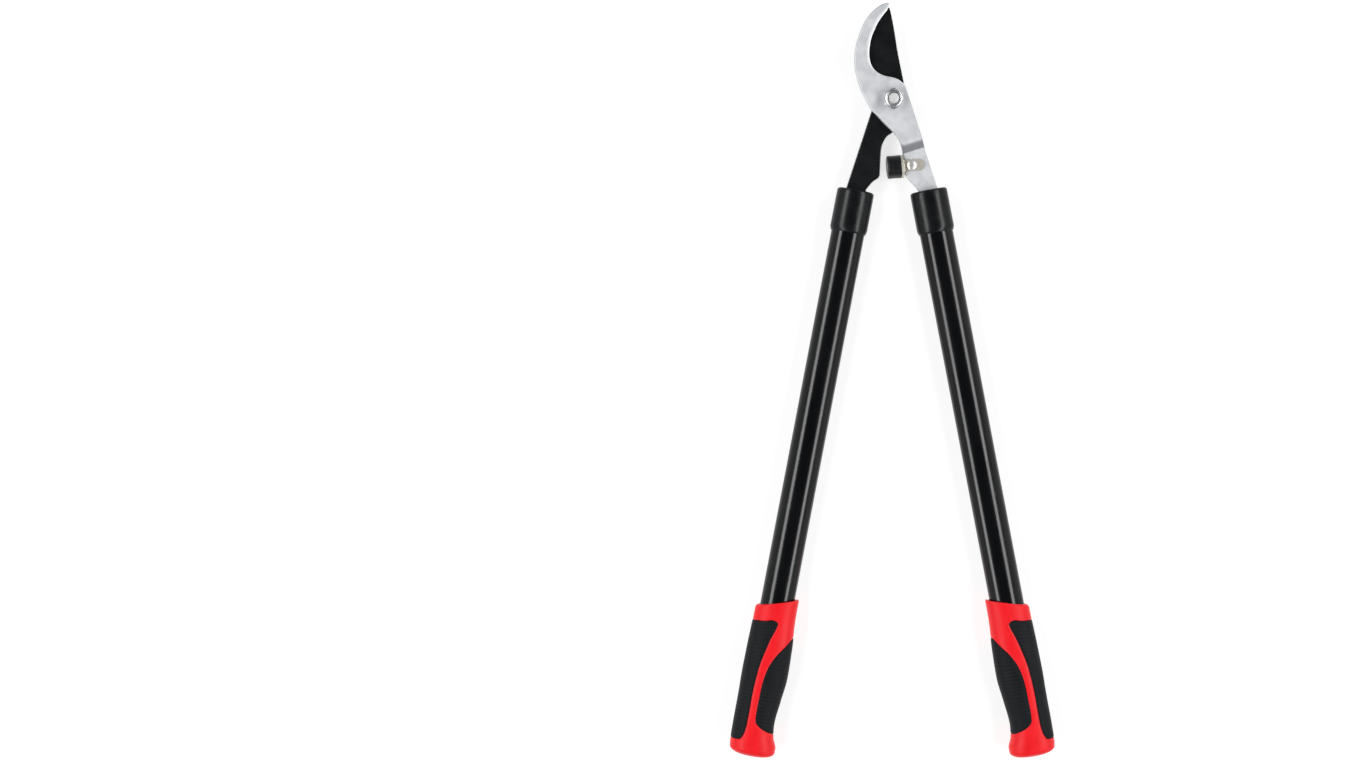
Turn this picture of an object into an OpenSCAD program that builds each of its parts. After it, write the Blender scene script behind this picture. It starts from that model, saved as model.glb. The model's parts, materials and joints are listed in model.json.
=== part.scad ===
// Two-handed bypass loppers, lying flat with the nut side up.
// A black cutting blade and a bright hooked counter blade turn on one M10 bolt.
// Each blade's tang runs into an oval handle tube, which has a moulded collar at the front and a
// two-colour grip at the back. The jaws point along +Y, and the rest pose is closed.

/* [Handles] */
// Angle between each handle and the centre line when the jaws are closed
handle_splay = 10.8; // [9:0.1:14]
// Distance from the pivot to the middle line of each handle
axis_offset = 16.4; // [15:0.1:20]
// Distance along a handle from the pivot to the front of its collar
collar_start = 83.5; // [82:0.5:102]
// Distance along a handle from the pivot to the end of its grip
handle_reach = 589; // [420:1:760]
// Width of the oval handle tube
tube_w = 29.4; // [24:0.2:36]
// Height of the oval handle tube
tube_h = 20; // [16:0.2:24]
// Wall of the handle tube
tube_wall = 1.5; // [1:0.1:2.4]

/* [Collars] */
// Length of the moulded collar over the front of each tube
collar_len = 38; // [34:1:60]
// Wall of the collar over the tube
collar_wall = 1.8; // [1.2:0.1:3]
// Solid nose of the collar in front of the tube
collar_nose = 6; // [4:0.5:10]

/* [Grips] */
// Length of the grip from the middle of its rim to its end
grip_len = 137; // [110:1:170]
// Least wall of the grip over the tube
grip_wall = 3; // [2:0.1:4]
// Depth of the soft panels let into the grip
panel_depth = 1.6; // [1:0.1:2.2]
// Solid end of the grip behind the tube
grip_stop = 16; // [8:1:24]

/* [Cutting blade] */
// Thickness of the cutting blade
blade_t = 4.5; // [3.5:0.1:6]
// Radius of the cutting edge
edge_r = 66.7; // [64:0.1:68]
// Width of the ground bevel
grind_w = 21; // [14:0.5:23]
// Thickness left at the cutting edge
edge_t = 0.4; // [0.2:0.1:0.8]

/* [Counter blade] */
// Thickness of the hooked counter blade
counter_t = 6; // [5:0.1:8]
// Distance from the pivot to the cranked step in the counter blade's arm
step_at = 40.6; // [38:0.2:42]
// Slope of the cranked step
step_angle = 35; // [25:1:45]
// Gap between the two blades
blade_gap = 0.1; // [0.05:0.01:0.2]

/* [Tangs] */
// Width of the tangs inside the tubes
tang_w = 15; // [10:0.5:17]
// Length of the tangs behind the collar's front
tang_len = 72; // [62:1:100]
// Radius of the hidden rivets that hold the tangs
rivet_r = 2.5; // [2:0.1:3.2]

/* [Pivot bolt] */
// Radius of the pivot bolt's shank
bolt_r = 5; // [4:0.1:6]
// Radius of the plain nose at the bolt's free end
bolt_nose_r = 4.1; // [3:0.1:4.2]
// Width across flats of the bolt head and the nut
hex_af = 17; // [15.6:0.1:20]
// Height of the bolt head
head_h = 6.4; // [5:0.1:8]
// Height of the whole lock nut
nut_h = 10; // [8.5:0.1:12]
// Radial clearance of the blades on the bolt
pivot_gap = 0.05; // [0.02:0.01:0.09]

/* [Bumper] */
// Distance from the pivot line to the bumper's rivet, across the jaws
bumper_x = 16.8; // [16.4:0.1:17.4]
// Distance from the pivot to the bumper's rivet, towards the handles
bumper_y = 57.3; // [56:0.1:59]
// Radius of the rubber bumper
bumper_r = 10.2; // [7:0.1:11]
// Length of the rubber bumper
bumper_len = 12.2; // [9:0.1:14]
// Thickness of the steel disc behind the rubber
disc_t = 2.2; // [1.5:0.1:3]
// Width of the bumper's strap
strap_w = 10.2; // [8:0.1:12]
// Thickness of the bumper's strap
strap_t = 1.2; // [0.8:0.1:1.8]

/* [Hidden] */

$fn = 64;
eps = 0.01;
tall = 200;

// Heights, measured from the mid-plane of the handles.
blade_top = blade_t / 2;
counter_low = blade_top + blade_gap;
counter_top = counter_low + counter_t;
step_rise = counter_low + counter_t / 2;
step_run = step_rise / tan(step_angle);
step_shift = counter_t * tan(step_angle / 2);
nose_len = 2.4;
thread_r = bolt_r - 0.1;

// Tube ends, measured along a handle.
tube_front = collar_start + collar_nose;
tube_back = handle_reach - grip_stop;
collar_back = collar_start + collar_len;
grip_front = handle_reach - grip_len;
fit = 0.05;

// ---- Curves ----

// One Catmull-Rom value between b and c, where a and d are their outer neighbours.
function between(a, b, c, d, t) =
  b + 0.5 * t * (c - a + t * (2 * a - 5 * b + 4 * c - d + t * (3 * (b - c) + d - a)));

// A smooth run of points through every point of p, with n steps to a span.
function smooth(p, n = 5) = concat(
  [for (i = [0 : len(p) - 2])
    for (k = [0 : n - 1])
      between(p[max(i - 1, 0)], p[i], p[i + 1], p[min(i + 2, len(p) - 1)], k / n)],
  [p[len(p) - 1]]
);

// Points of an arc about c, from angle a0 to angle a1.
function arc(c, r, a0, a1, n = 24) =
  [for (i = [0 : n]) c + r * [cos(a0 + (a1 - a0) * i / n), sin(a0 + (a1 - a0) * i / n)]];

// ---- Places ----

// A point of the right-hand handle: x across it, outwards from its middle line, and s along it.
function on_handle(x, s) = [
  (axis_offset + x) * cos(handle_splay) + s * sin(handle_splay),
  (axis_offset + x) * sin(handle_splay) - s * cos(handle_splay)
];

// The same point on the left-hand handle.
function on_left(x, s) = [-on_handle(x, s).x, on_handle(x, s).y];

// A point of the bumper, which points its -x along its own axis towards the other arm.
// The strap's web, the disc and the rubber stack up from the arm's edge at seat_x.
bumper_tilt = 4.8;
seat_x = -5.8;
function on_bumper(x, y) = [
  bumper_x + x * cos(bumper_tilt) - y * sin(bumper_tilt),
  x * sin(bumper_tilt) + y * cos(bumper_tilt) - bumper_y
];

// Puts a child that runs along -Y onto the right-hand handle (side = 1) or the left (side = -1).
module on_side(side) {
  mirror([side < 0 ? 1 : 0, 0, 0])
    rotate([0, 0, handle_splay])
      translate([axis_offset, 0, 0])
        children();
}

// Extrudes a section across the handle from s0 to s1 along it.
module run(s0, s1) {
  translate([0, -s0, 0])
    rotate([90, 0, 0])
      linear_extrude(s1 - s0)
        children();
}

// Puts a child at the bumper's rivet, turned to the bumper's axis.
module at_bumper() {
  translate([bumper_x, -bumper_y, 0])
    rotate([0, 0, bumper_tilt])
      children();
}

// An oval of two wide arcs and two end arcs that meet smoothly.
module oval(w, h) {
  end_r = h * 0.36;
  reach = w / 2 - end_r;
  drop = (reach * reach - (h / 2 - end_r) * (h / 2 - end_r)) / (h - 2 * end_r);
  wide_r = h / 2 + drop;
  meet = reach * wide_r / (wide_r - end_r);
  for (x = [-reach, reach])
    translate([x, 0])
      circle(end_r);
  intersection() {
    translate([0, -drop]) circle(wide_r, $fn = 200);
    translate([0, drop]) circle(wide_r, $fn = 200);
    square([2 * meet, h + 1], center = true);
  }
}

// ---- Lofted plastic forms ----

ring_n = 28;

// One closed ring of points across a handle.
// r = [s, inner half width, outer half width, half height, slope of the ring towards the outside].
function ring(r, shrink = 0) = [for (i = [0 : ring_n - 1])
  let (
    a = 360 * i / ring_n,
    square_up = 0.86,
    w = (cos(a) > 0 ? r[2] : r[1]) - shrink,
    x = w * sign(cos(a)) * pow(abs(cos(a)), square_up),
    z = (r[3] - shrink) * sign(sin(a)) * pow(abs(sin(a)), square_up)
  )
  [x, -r[0] - r[4] * x, z]
];

// A solid through a list of rings, closed flat at both ends.
module loft(rings) {
  n = ring_n;
  m = len(rings);
  polyhedron(
    points = [for (r = rings) each r],
    faces = concat(
      [[for (i = [0 : n - 1]) i]],
      [for (j = [0 : m - 2]) for (i = [0 : n - 1]) each [
        [j * n + i, (j + 1) * n + i, j * n + (i + 1) % n],
        [j * n + (i + 1) % n, (j + 1) * n + i, (j + 1) * n + (i + 1) % n]
      ]],
      [[for (i = [n - 1 : -1 : 0]) (m - 1) * n + i]]
    ),
    convexity = 4
  );
}

// Wall of the grip over the tube, by the distance from the rim's middle to the end, 0 to 1:
// [place, inner wall, outer wall, wall above and below, slope of the ring].
GRIP_WALLS = [
  [0.000, 0.6, 0.0, 0.0, 0.30],
  [0.012, 1.0, 1.0, 0.6, 0.30],
  [0.100, 1.1, 1.1, 0.8, 0.22],
  [0.300, 3.0, 1.6, 1.6, 0.08],
  [0.460, 3.7, 1.8, 2.0, 0.00],
  [0.620, 1.6, 1.3, 1.6, 0.00],
  [0.770, -0.2, 1.2, 1.2, 0.00],
  [0.860, 1.6, 1.0, 1.8, 0.00],
  [0.925, 5.0, 0.7, 2.2, 0.00],
  [0.975, 5.0, -0.7, 1.2, 0.00],
  [1.000, 0.5, -5.5, -3.0, 0.00]
];

// The grip's rings. A positive shrink gives the smaller form that lies under the soft panels.
function grip_rings(shrink = 0) = [for (g = GRIP_WALLS) ring([
  grip_front + g[0] * grip_len,
  tube_w / 2 + grip_wall + g[1],
  tube_w / 2 + grip_wall + g[2],
  tube_h / 2 + grip_wall + g[3],
  g[4]
], shrink)];

// Rings of the collar: a rounded nose, near-parallel sides and a short taper down to the tube.
// [place, wall over the tube as a share of collar_wall].
COLLAR_WALLS = [
  [0.000, -0.60], [0.015, 0.25], [0.055, 0.80], [0.150, 0.95],
  [0.500, 0.95], [0.860, 1.00], [0.960, 0.65], [1.000, 0.30]
];
function collar_rings() = [for (c = COLLAR_WALLS) ring([
  collar_start + c[0] * collar_len,
  tube_w / 2 + c[1] * collar_wall,
  tube_w / 2 + c[1] * collar_wall,
  tube_h / 2 + (c[1] + 0.5) * collar_wall,
  0
])];

// Edges of the soft panels on the grip, as [across the handle, share of the grip's length].
outer_panel_edge = smooth([
  [30, 0.145], [9.5, 0.125], [1.7, 0.110], [-3.4, 0.125], [-2.8, 0.162], [0.5, 0.235], [3.3, 0.320],
  [5.7, 0.407], [6.8, 0.500], [7.3, 0.590], [7.1, 0.740], [7.4, 0.822], [9.2, 0.874], [13, 0.898],
  [30, 0.902]
], 4);
inner_panel_edge = smooth([
  [-30, 0.098], [-20, 0.198], [-14.7, 0.257], [-8.1, 0.322], [-3.5, 0.385], [-0.9, 0.447], [0.4, 0.514],
  [0.8, 0.600], [0.5, 0.752], [-3.3, 0.793], [-9.5, 0.815], [-18.7, 0.834], [-30, 0.850]
], 4);

// Everything above and below a panel's outline.
module panel_prism(edge) {
  translate([0, 0, -tall / 2])
    linear_extrude(tall)
      polygon([for (p = edge) [p.x, -(grip_front + p.y * grip_len)]]);
}

// ---- Cutting blade ----

edge_c = [39.5, 34.5];

// Outline of the cutting blade: heel, edge, tip, spine, boss, arch, stop, tang and outer side.
blade_outline = concat(
  smooth([[-17.9, -8.5], [-17.6, -4.5], [-18.4, -0.5], [-20, 3.8], edge_c + edge_r * [cos(203.2), sin(203.2)]], 4),
  arc(edge_c, edge_r, 202, 134, 34),
  smooth([[-5.4, 83.2], [-4, 82.9], [-2.8, 81.4], [-1.3, 77.5], [1.7, 62], [4.8, 42.5], [9.6, 18.5],
          [11.3, 12], [13.4, 4], [14.4, -2], [14.2, -7], [12.6, -12], [10.1, -16.4], [4.9, -22.3],
          [-0.3, -28.7]], 4),
  smooth([[-3.2, -30.6], [-6.2, -34], [-8.6, -38.8], [-9.7, -44], [-10.2, -50]], 4),
  smooth([[-10.9, -64.6], [-11.2, -66.6], [-12.6, -68.6], [-16.5, -71.2], [-20.2, -75.2],
          on_left(-8.5, collar_start - 1), on_left(-8.3, tube_front)], 4),
  [on_left(8.7, tube_front), on_left(8.9, collar_start + 0.5)]
);

module cutting_blade() {
  color("#17181a")
    difference() {
      union() {
        translate([0, 0, -blade_top])
          linear_extrude(blade_t)
            polygon(blade_outline);
        tang(-1, blade_t);
      }
      translate([0, 0, -tall / 2])
        cylinder(h = tall, r = bolt_r + pivot_gap);
      grind();
      tang_holes(-1);
    }
}

// The ground bevel ends at the heel on a straight line through heel_at.
heel_at = [-2.3, 17.4];
heel_turn = 29.7;

// The cone that is ground off the side away from the hook.
module grind() {
  keep = edge_r - grind_w;
  over = 4;
  depth = (blade_t - edge_t) * (grind_w + over) / grind_w;
  intersection() {
    translate([edge_c.x, edge_c.y, -blade_top])
      rotate_extrude($fn = 200)
        polygon([[keep, 0], [keep, -1], [edge_r + over, -1], [edge_r + over, depth]]);
    translate([heel_at.x, heel_at.y, -tall / 2])
      rotate([0, 0, heel_turn])
        translate([-tall / 2, 0, 0])
          cube(tall);
  }
}

// ---- Counter blade ----

// Outline of the counter blade: hook's back, inner arm, bumper seat, tang, outer side, shoulder and
// hook's mouth.
counter_outline = concat(
  smooth([[-3.4, 84.4], [-5, 84.7], [-10.6, 82.9], [-16.9, 78.2], [-22.6, 71.6], [-26.9, 63.9], [-30.2, 55.4],
          [-32.6, 46.5], [-33.7, 36], [-33.2, 26.5], [-31.2, 18], [-29, 10.8], [-25.6, 3], [-21.6, -4.4],
          [-18.3, -9.2], [-12.9, -15], [-7.2, -21.2], [-1, -27.2], [3, -31.4], [6, -36.4], [8, -42],
          [9.2, -47]], 3),
  [on_bumper(seat_x, 5.6), on_bumper(seat_x, -7.2)],
  smooth([on_bumper(seat_x + 1.2, -10.2), [15.4, -70.7], [19.2, -74.6],
          on_handle(-8.6, collar_start - 1), on_handle(-8.3, tube_front)], 4),
  [on_handle(8.3, tube_front), on_handle(8.1, collar_start - 1)],
  smooth([[10.6, 12.3], [9.4, 14], [7, 15.9], [4.6, 17.5], [2.3, 18.5], [-1.1, 19.4], [-5.4, 20.2],
          [-9.6, 21.5], [-13.2, 23.4], [-15.9, 25.7], [-17.8, 28.1], [-19.3, 31], [-20.4, 35.5],
          [-20.8, 40], [-20.4, 46], [-19.2, 52.8], [-17, 59], [-13.4, 66.8], [-8.6, 74], [-4.6, 79],
          [-2.8, 82.4]], 3)
);

module counter_blade() {
  color("#c4c7c9")
    difference() {
      intersection() {
        union() {
          translate([0, 0, -tall / 2])
            linear_extrude(tall)
              polygon(counter_outline);
          tang(1, tall);
        }
        cranked_sheet();
      }
      translate([0, 0, -tall / 2])
        cylinder(h = tall, r = bolt_r + pivot_gap);
      tang_holes(1);
      at_bumper()
        translate([0, 0, -tall / 2])
          cylinder(h = tall, r = rivet_r + fit);
    }
}

// A sheet of the counter blade's thickness, flat at the head and stepped down to the mid-plane at
// the arm. The step runs across the arm at crease_turn.
crease_turn = 17.5;
module cranked_sheet() {
  top_start = step_at;
  top_end = step_at + step_run;
  half = counter_t / 2;
  rotate([0, 0, crease_turn])
    rotate([90, 0, 90])
      translate([0, 0, -tall])
        linear_extrude(2 * tall)
          polygon([
            [tall, counter_top], [-top_start, counter_top], [-top_end, half], [-3 * tall, half],
            [-3 * tall, -half], [-top_end + step_shift, -half], [-top_start + step_shift, counter_low],
            [tall, counter_low]
          ]);
}

// ---- Tangs, tubes and collars ----

rivet_places = [tube_front + 10, tube_front + 24];

// The straight tang that a blade pushes into its handle tube.
module tang(side, t) {
  on_side(side)
    translate([-tang_w / 2, -collar_start - tang_len, -t / 2])
      cube([tang_w, tang_len - collar_nose + 1, t]);
}

// Holes for the hidden rivets.
module tang_holes(side) {
  on_side(side)
    for (s = rivet_places)
      translate([0, -s, -tall / 2])
        cylinder(h = tall, r = rivet_r + fit);
}

// The rivets, flush with the tube so that the collar slides over them.
module tang_rivets(side) {
  color("#b9bcc0")
    on_side(side)
      intersection() {
        union() {
          for (s = rivet_places)
            translate([0, -s, -tall / 2])
              cylinder(h = tall, r = rivet_r);
        }
        run(tube_front, collar_back)
          oval(tube_w, tube_h);
      }
}

module tube_bore() {
  oval(tube_w - 2 * tube_wall, tube_h - 2 * tube_wall);
}

module handle_tube(side) {
  color("#0e0f11")
    difference() {
      on_side(side)
        run(tube_front, tube_back)
          difference() {
            oval(tube_w, tube_h);
            tube_bore();
          }
      tang_holes(side);
    }
}

// The nylon block that fills the tube around the tang and goes on a little behind it.
insert_tail = 4;
module tang_insert(side, t) {
  color("#e4e2da")
    difference() {
      on_side(side)
        run(tube_front, collar_start + tang_len + insert_tail)
          tube_bore();
      on_side(side)
        translate([-tang_w / 2 - fit, -collar_start - tang_len - fit, -t / 2 - fit])
          cube([tang_w + 2 * fit, tang_len, t + 2 * fit]);
      tang_holes(side);
    }
}

// The collar over the tube's front. The arm enters through a slot in its nose.
slot_w = 19.4;
module handle_collar(side, t) {
  color("#1b1c1e")
    on_side(side)
      difference() {
        loft(collar_rings());
        run(tube_front, collar_back + 1)
          oval(tube_w + 2 * fit, tube_h + 2 * fit);
        translate([-slot_w / 2, -tube_front - 1, -t / 2 - fit])
          cube([slot_w, collar_nose + 2, t + 2 * fit]);
      }
}

// ---- Grips ----

module grip_bore() {
  run(grip_front - 10, tube_back + fit)
    oval(tube_w + 2 * fit, tube_h + 2 * fit);
}

module grip_body(side) {
  color("#e8141f")
    on_side(side)
      difference() {
        loft(grip_rings());
        difference() {
          union() {
            panel_prism(outer_panel_edge);
            panel_prism(inner_panel_edge);
          }
          loft(grip_rings(panel_depth));
        }
        grip_bore();
      }
}

module grip_panel(side, edge) {
  color("#1a1c20")
    on_side(side)
      difference() {
        intersection() {
          loft(grip_rings());
          panel_prism(edge);
        }
        loft(grip_rings(panel_depth));
      }
}

// ---- Bumper on the counter blade's arm ----

disc_at = seat_x - strap_t;
rubber_at = disc_at - disc_t;
rubber_round = 1;
stud_r = 1.5;
stud_head_r = 2.5;
stud_head_h = 4;
strap_reach = 18.6;

module bumper_rubber() {
  color("#111214")
    at_bumper()
      difference() {
        translate([rubber_at, 0, 0])
          rotate([0, -90, 0])
            union() {
              cylinder(h = bumper_len - rubber_round, r = bumper_r);
              translate([0, 0, bumper_len - rubber_round])
                cylinder(h = rubber_round, r1 = bumper_r, r2 = bumper_r - rubber_round);
            }
        translate([rubber_at + eps, 0, 0])
          rotate([0, -90, 0])
            cylinder(h = stud_head_h + fit, r = stud_head_r + fit);
      }
}

module bumper_disc() {
  color("#b4b6b6")
    at_bumper()
      translate([disc_at, 0, 0])
        rotate([0, -90, 0])
          difference() {
            cylinder(h = disc_t, r = bumper_r);
            translate([0, 0, -1])
              cylinder(h = disc_t + 2, r = stud_r + fit);
          }
}

// The stud that rivets the disc to the strap's web, with its head moulded into the rubber.
module bumper_stud() {
  color("#9fa1a2")
    at_bumper()
      translate([seat_x, 0, 0])
        rotate([0, -90, 0]) {
          cylinder(h = strap_t + disc_t + eps, r = stud_r);
          translate([0, 0, strap_t + disc_t])
            cylinder(h = stud_head_h, r = stud_head_r);
        }
}

// A strap folded round the arm: a web on the arm's inner edge and a leg on each face.
module bumper_bracket() {
  leg = strap_reach - strap_w / 2;
  half = counter_t / 2;
  color("#b9b5a6")
    at_bumper()
      difference() {
        union() {
          translate([disc_at, -strap_w / 2, -half - strap_t])
            cube([strap_t, strap_w, counter_t + 2 * strap_t]);
          for (z = [half, -half - strap_t])
            translate([0, 0, z]) {
              translate([disc_at, -strap_w / 2, 0])
                cube([leg, strap_w, strap_t]);
              translate([disc_at + leg, 0, 0])
                cylinder(h = strap_t, r = strap_w / 2);
            }
        }
        translate([0, 0, -tall / 2])
          cylinder(h = tall, r = rivet_r + fit);
        translate([seat_x + 1, 0, 0])
          rotate([0, -90, 0])
            cylinder(h = 6, r = stud_r + fit);
      }
}

// A rivet with a domed head on the nut side and a rolled, hollow end on the other.
module bumper_rivet() {
  face = counter_t / 2 + strap_t;
  dome_r = 4.8;
  dome_h = 2.4;
  ball_r = (dome_r * dome_r + dome_h * dome_h) / (2 * dome_h);
  rolled_bore_r = 1.5;
  color("#d8d6cf")
    at_bumper()
      difference() {
        union() {
          translate([0, 0, -face])
            cylinder(h = 2 * face, r = rivet_r);
          intersection() {
            translate([0, 0, face + dome_h - ball_r])
              sphere(ball_r);
            translate([0, 0, face])
              cylinder(h = dome_h + 1, r = dome_r + 1);
          }
          translate([0, 0, -face])
            rotate([180, 0, 0])
              rotate_extrude()
                polygon([[0, 0], [3.3, 0], [3.4, 0.4], [3.1, 0.9], [2.4, 1.1], [0, 1.1]]);
        }
        translate([0, 0, -face - 1.2])
          cylinder(h = 5, r = rolled_bore_r);
      }
}

// ---- Pivot bolt ----

// A hexagon whose top corners are turned off by a 30 degree cone.
module chamfered_hex(af, h) {
  flat_r = 0.48 * af;
  intersection() {
    cylinder(h = h, r = af / 2 / cos(30), $fn = 6);
    rotate_extrude()
      polygon([[0, 0], [af, 0], [af, h - (af - flat_r) * tan(30)], [flat_r, h], [0, h]]);
  }
}

head_turn = -9;
module pivot_bolt() {
  shank = counter_top + blade_top;
  color("#aaa69b")
    translate([0, 0, -blade_top]) {
      mirror([0, 0, 1])
        rotate([0, 0, head_turn])
          chamfered_hex(hex_af, head_h);
      translate([0, 0, -1])
        cylinder(h = shank + 1, r = bolt_r);
      translate([0, 0, shank - eps])
        cylinder(h = nut_h + eps, r = thread_r);
      translate([0, 0, shank + nut_h - eps])
        cylinder(h = nose_len - 0.4 + eps, r = bolt_nose_r);
      translate([0, 0, shank + nut_h + nose_len - 0.4])
        cylinder(h = 0.4, r1 = bolt_nose_r, r2 = bolt_nose_r - 0.4);
    }
}

// The lock nut: a hexagon with a round collar that is rolled in over the lock ring.
ring_h = 2.2;
lip_t = 0.6;
dome_r = hex_af / 2 * 0.88;
dome_taper = 0.8;
ring_seat_r = thread_r + (dome_r - dome_taper - thread_r) * 0.8;

module pivot_nut() {
  hex_h = nut_h * 0.72;
  color("#c9cbcc")
    translate([0, 0, counter_top])
      difference() {
        union() {
          rotate([0, 0, 30])
            chamfered_hex(hex_af, hex_h);
          cylinder(h = nut_h - 1, r = dome_r);
          translate([0, 0, nut_h - 1])
            cylinder(h = 1, r1 = dome_r, r2 = dome_r - dome_taper);
        }
        translate([0, 0, -1])
          cylinder(h = nut_h + 2, r = thread_r + fit);
        translate([0, 0, nut_h - lip_t - ring_h])
          cylinder(h = ring_h, r = ring_seat_r);
      }
}

module nut_lock_ring() {
  color("#1b1d24")
    translate([0, 0, counter_top + nut_h - lip_t - ring_h])
      difference() {
        cylinder(h = ring_h, r = ring_seat_r);
        translate([0, 0, -1])
          cylinder(h = ring_h + 2, r = thread_r + fit);
      }
}

// ---- Standing on the bench ----

// The whole part is moved from the pivot so that its box stands centred on the origin.
function turned(p) = [
  (axis_offset + p.x) * cos(handle_splay) - p.y * sin(handle_splay),
  (axis_offset + p.x) * sin(handle_splay) + p.y * cos(handle_splay),
  p.z
];
grip_points = [for (r = grip_rings()) for (p = r) turned(p)];
tail_y = min([for (p = grip_points) p.y]);
tip_y = max([for (p = counter_outline) p.y]);
floor_z = min([for (p = grip_points) p.z]);
pivot_at = [0, -(tip_y + tail_y) / 2, -floor_z];

translate(pivot_at) {
  counter_blade();
  handle_collar(1, counter_t);  // counter_collar
  handle_tube(1);  // counter_tube
  tang_insert(1, counter_t);  // counter_tang_insert
  tang_rivets(1);  // counter_tang_rivets
  grip_body(1);  // counter_grip_body
  grip_panel(1, outer_panel_edge);  // counter_grip_outer_panel
  grip_panel(1, inner_panel_edge);  // counter_grip_inner_panel
  bumper_rubber();
  bumper_disc();
  bumper_bracket();
  bumper_stud();
  bumper_rivet();
  pivot_bolt();
  pivot_nut();
  nut_lock_ring();
  cutting_blade();
  handle_collar(-1, blade_t);  // blade_collar
  handle_tube(-1);  // blade_tube
  tang_insert(-1, blade_t);  // blade_tang_insert
  tang_rivets(-1);  // blade_tang_rivets
  grip_body(-1);  // blade_grip_body
  grip_panel(-1, outer_panel_edge);  // blade_grip_outer_panel
  grip_panel(-1, inner_panel_edge);  // blade_grip_inner_panel
}
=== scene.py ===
# %% [markdown]
# # Two-handed bypass loppers
# A lopper is two long levers on one bolt. A black cutting blade slides past a bright hooked counter
# blade, and each blade's tang disappears into an oval tube with a collar at the front and a red and
# black grip at the back. The steel, the bolt and the plastic all look different close up, so each piece
# is made on its own here, around the CAD model, which gives every place and size.

import json
import math

import bmesh
import bpy
import numpy as np
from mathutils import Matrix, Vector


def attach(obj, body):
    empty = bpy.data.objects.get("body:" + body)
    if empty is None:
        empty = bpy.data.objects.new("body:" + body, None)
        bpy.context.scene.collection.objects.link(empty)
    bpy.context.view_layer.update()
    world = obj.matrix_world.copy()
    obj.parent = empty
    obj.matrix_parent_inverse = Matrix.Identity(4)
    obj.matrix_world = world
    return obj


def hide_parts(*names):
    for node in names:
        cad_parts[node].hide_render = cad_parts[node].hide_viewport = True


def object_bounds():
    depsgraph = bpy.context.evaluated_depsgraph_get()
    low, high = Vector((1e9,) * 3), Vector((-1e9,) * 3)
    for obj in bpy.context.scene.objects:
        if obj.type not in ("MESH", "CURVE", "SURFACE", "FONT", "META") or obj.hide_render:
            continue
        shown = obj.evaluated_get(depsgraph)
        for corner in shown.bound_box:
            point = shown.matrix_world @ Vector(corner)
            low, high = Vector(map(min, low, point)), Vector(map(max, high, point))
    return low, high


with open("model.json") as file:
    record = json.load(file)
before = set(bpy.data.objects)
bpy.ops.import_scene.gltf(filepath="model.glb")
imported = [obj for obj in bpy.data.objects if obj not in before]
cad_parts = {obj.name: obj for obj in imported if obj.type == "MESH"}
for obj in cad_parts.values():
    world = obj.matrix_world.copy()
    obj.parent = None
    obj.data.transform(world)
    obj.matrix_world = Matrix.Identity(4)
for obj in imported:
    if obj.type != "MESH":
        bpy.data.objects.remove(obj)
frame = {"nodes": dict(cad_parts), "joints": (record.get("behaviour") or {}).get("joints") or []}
cad_low, cad_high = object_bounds()
print("CAD box", [round(v, 4) for v in cad_low], [round(v, 4) for v in cad_high])

# %% [markdown]
# ## Where things are
# All the work below is in millimetres from the pivot, because that is how such a tool is drawn: the
# bolt is the one point that both halves share. A handle has its own measures as well: x across it,
# outwards, and s along it, from beside the pivot to the end of the grip. Its direction is read from
# the CAD tube, as the direction in which the tube's points spread most.

# %% The pivot and the two handles
MM = 0.001
pivot = np.array(frame["joints"][0]["pos_m"])
HALVES = {"counter": "counter_half", "blade": "blade_half"}


def node_points(node):
    """The corners of a CAD node, in millimetres from the pivot."""
    data = frame["nodes"][node].data
    flat = np.empty(len(data.vertices) * 3, np.float32)
    data.vertices.foreach_get("co", flat)
    return (flat.reshape(-1, 3) - pivot) / MM


def handle_frame(tube):
    """The foot, beside the pivot, and the directions outwards and along, of the handle of that tube."""
    points = node_points(tube)
    middle = (points.min(0) + points.max(0)) / 2
    along = np.linalg.svd(points - points.mean(0), full_matrices=False)[2][0] * [1, 1, 0]
    along *= -np.sign(along[1]) / np.linalg.norm(along)
    foot = middle - along * (middle @ along)
    return {"foot": foot, "out": foot / np.linalg.norm(foot), "along": along}


def on_handle(handle, x, s, z):
    """Points from handle measures: the foot, plus x outwards, plus s along, plus z up."""
    x, s, z = np.broadcast_arrays(x, s, z)
    flat = x[..., None] * handle["out"] + s[..., None] * handle["along"]
    return handle["foot"] + flat + z[..., None] * np.array([0, 0, 1])


def span(node, handle, way="along"):
    """The lowest and highest place of a CAD node along a handle, or across it."""
    places = (node_points(node) - handle["foot"]) @ handle[way]
    return places.min(), places.max()


handles = {side: handle_frame(side + "_tube") for side in HALVES}
for side, handle in handles.items():
    print(side, "handle leans", round(math.degrees(math.asin(abs(handle["along"][0]))), 2), "degrees")

# %% [markdown]
# ## From a grid of points to a piece
# Almost every form here is a grid: a section carried along a path, or turned about an axis. The grid
# is joined in fours, its open ends are closed with a middle point, and the faces are turned outwards
# if the volume that they enclose comes out negative.


# %% Grids, meshes and pieces
def lattice(rows, cols, wrap_rows=False):
    """Faces of a grid numbered row by row: each point with the next in its row and in the next row."""
    i = np.arange(rows if wrap_rows else rows - 1)[:, None]
    j = np.arange(cols)[None, :]
    right, below = (j + 1) % cols, (i + 1) % rows
    corners = [i * cols + j, i * cols + right, below * cols + right, below * cols + j]
    return np.stack(corners, -1).reshape(-1, 4)


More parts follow.
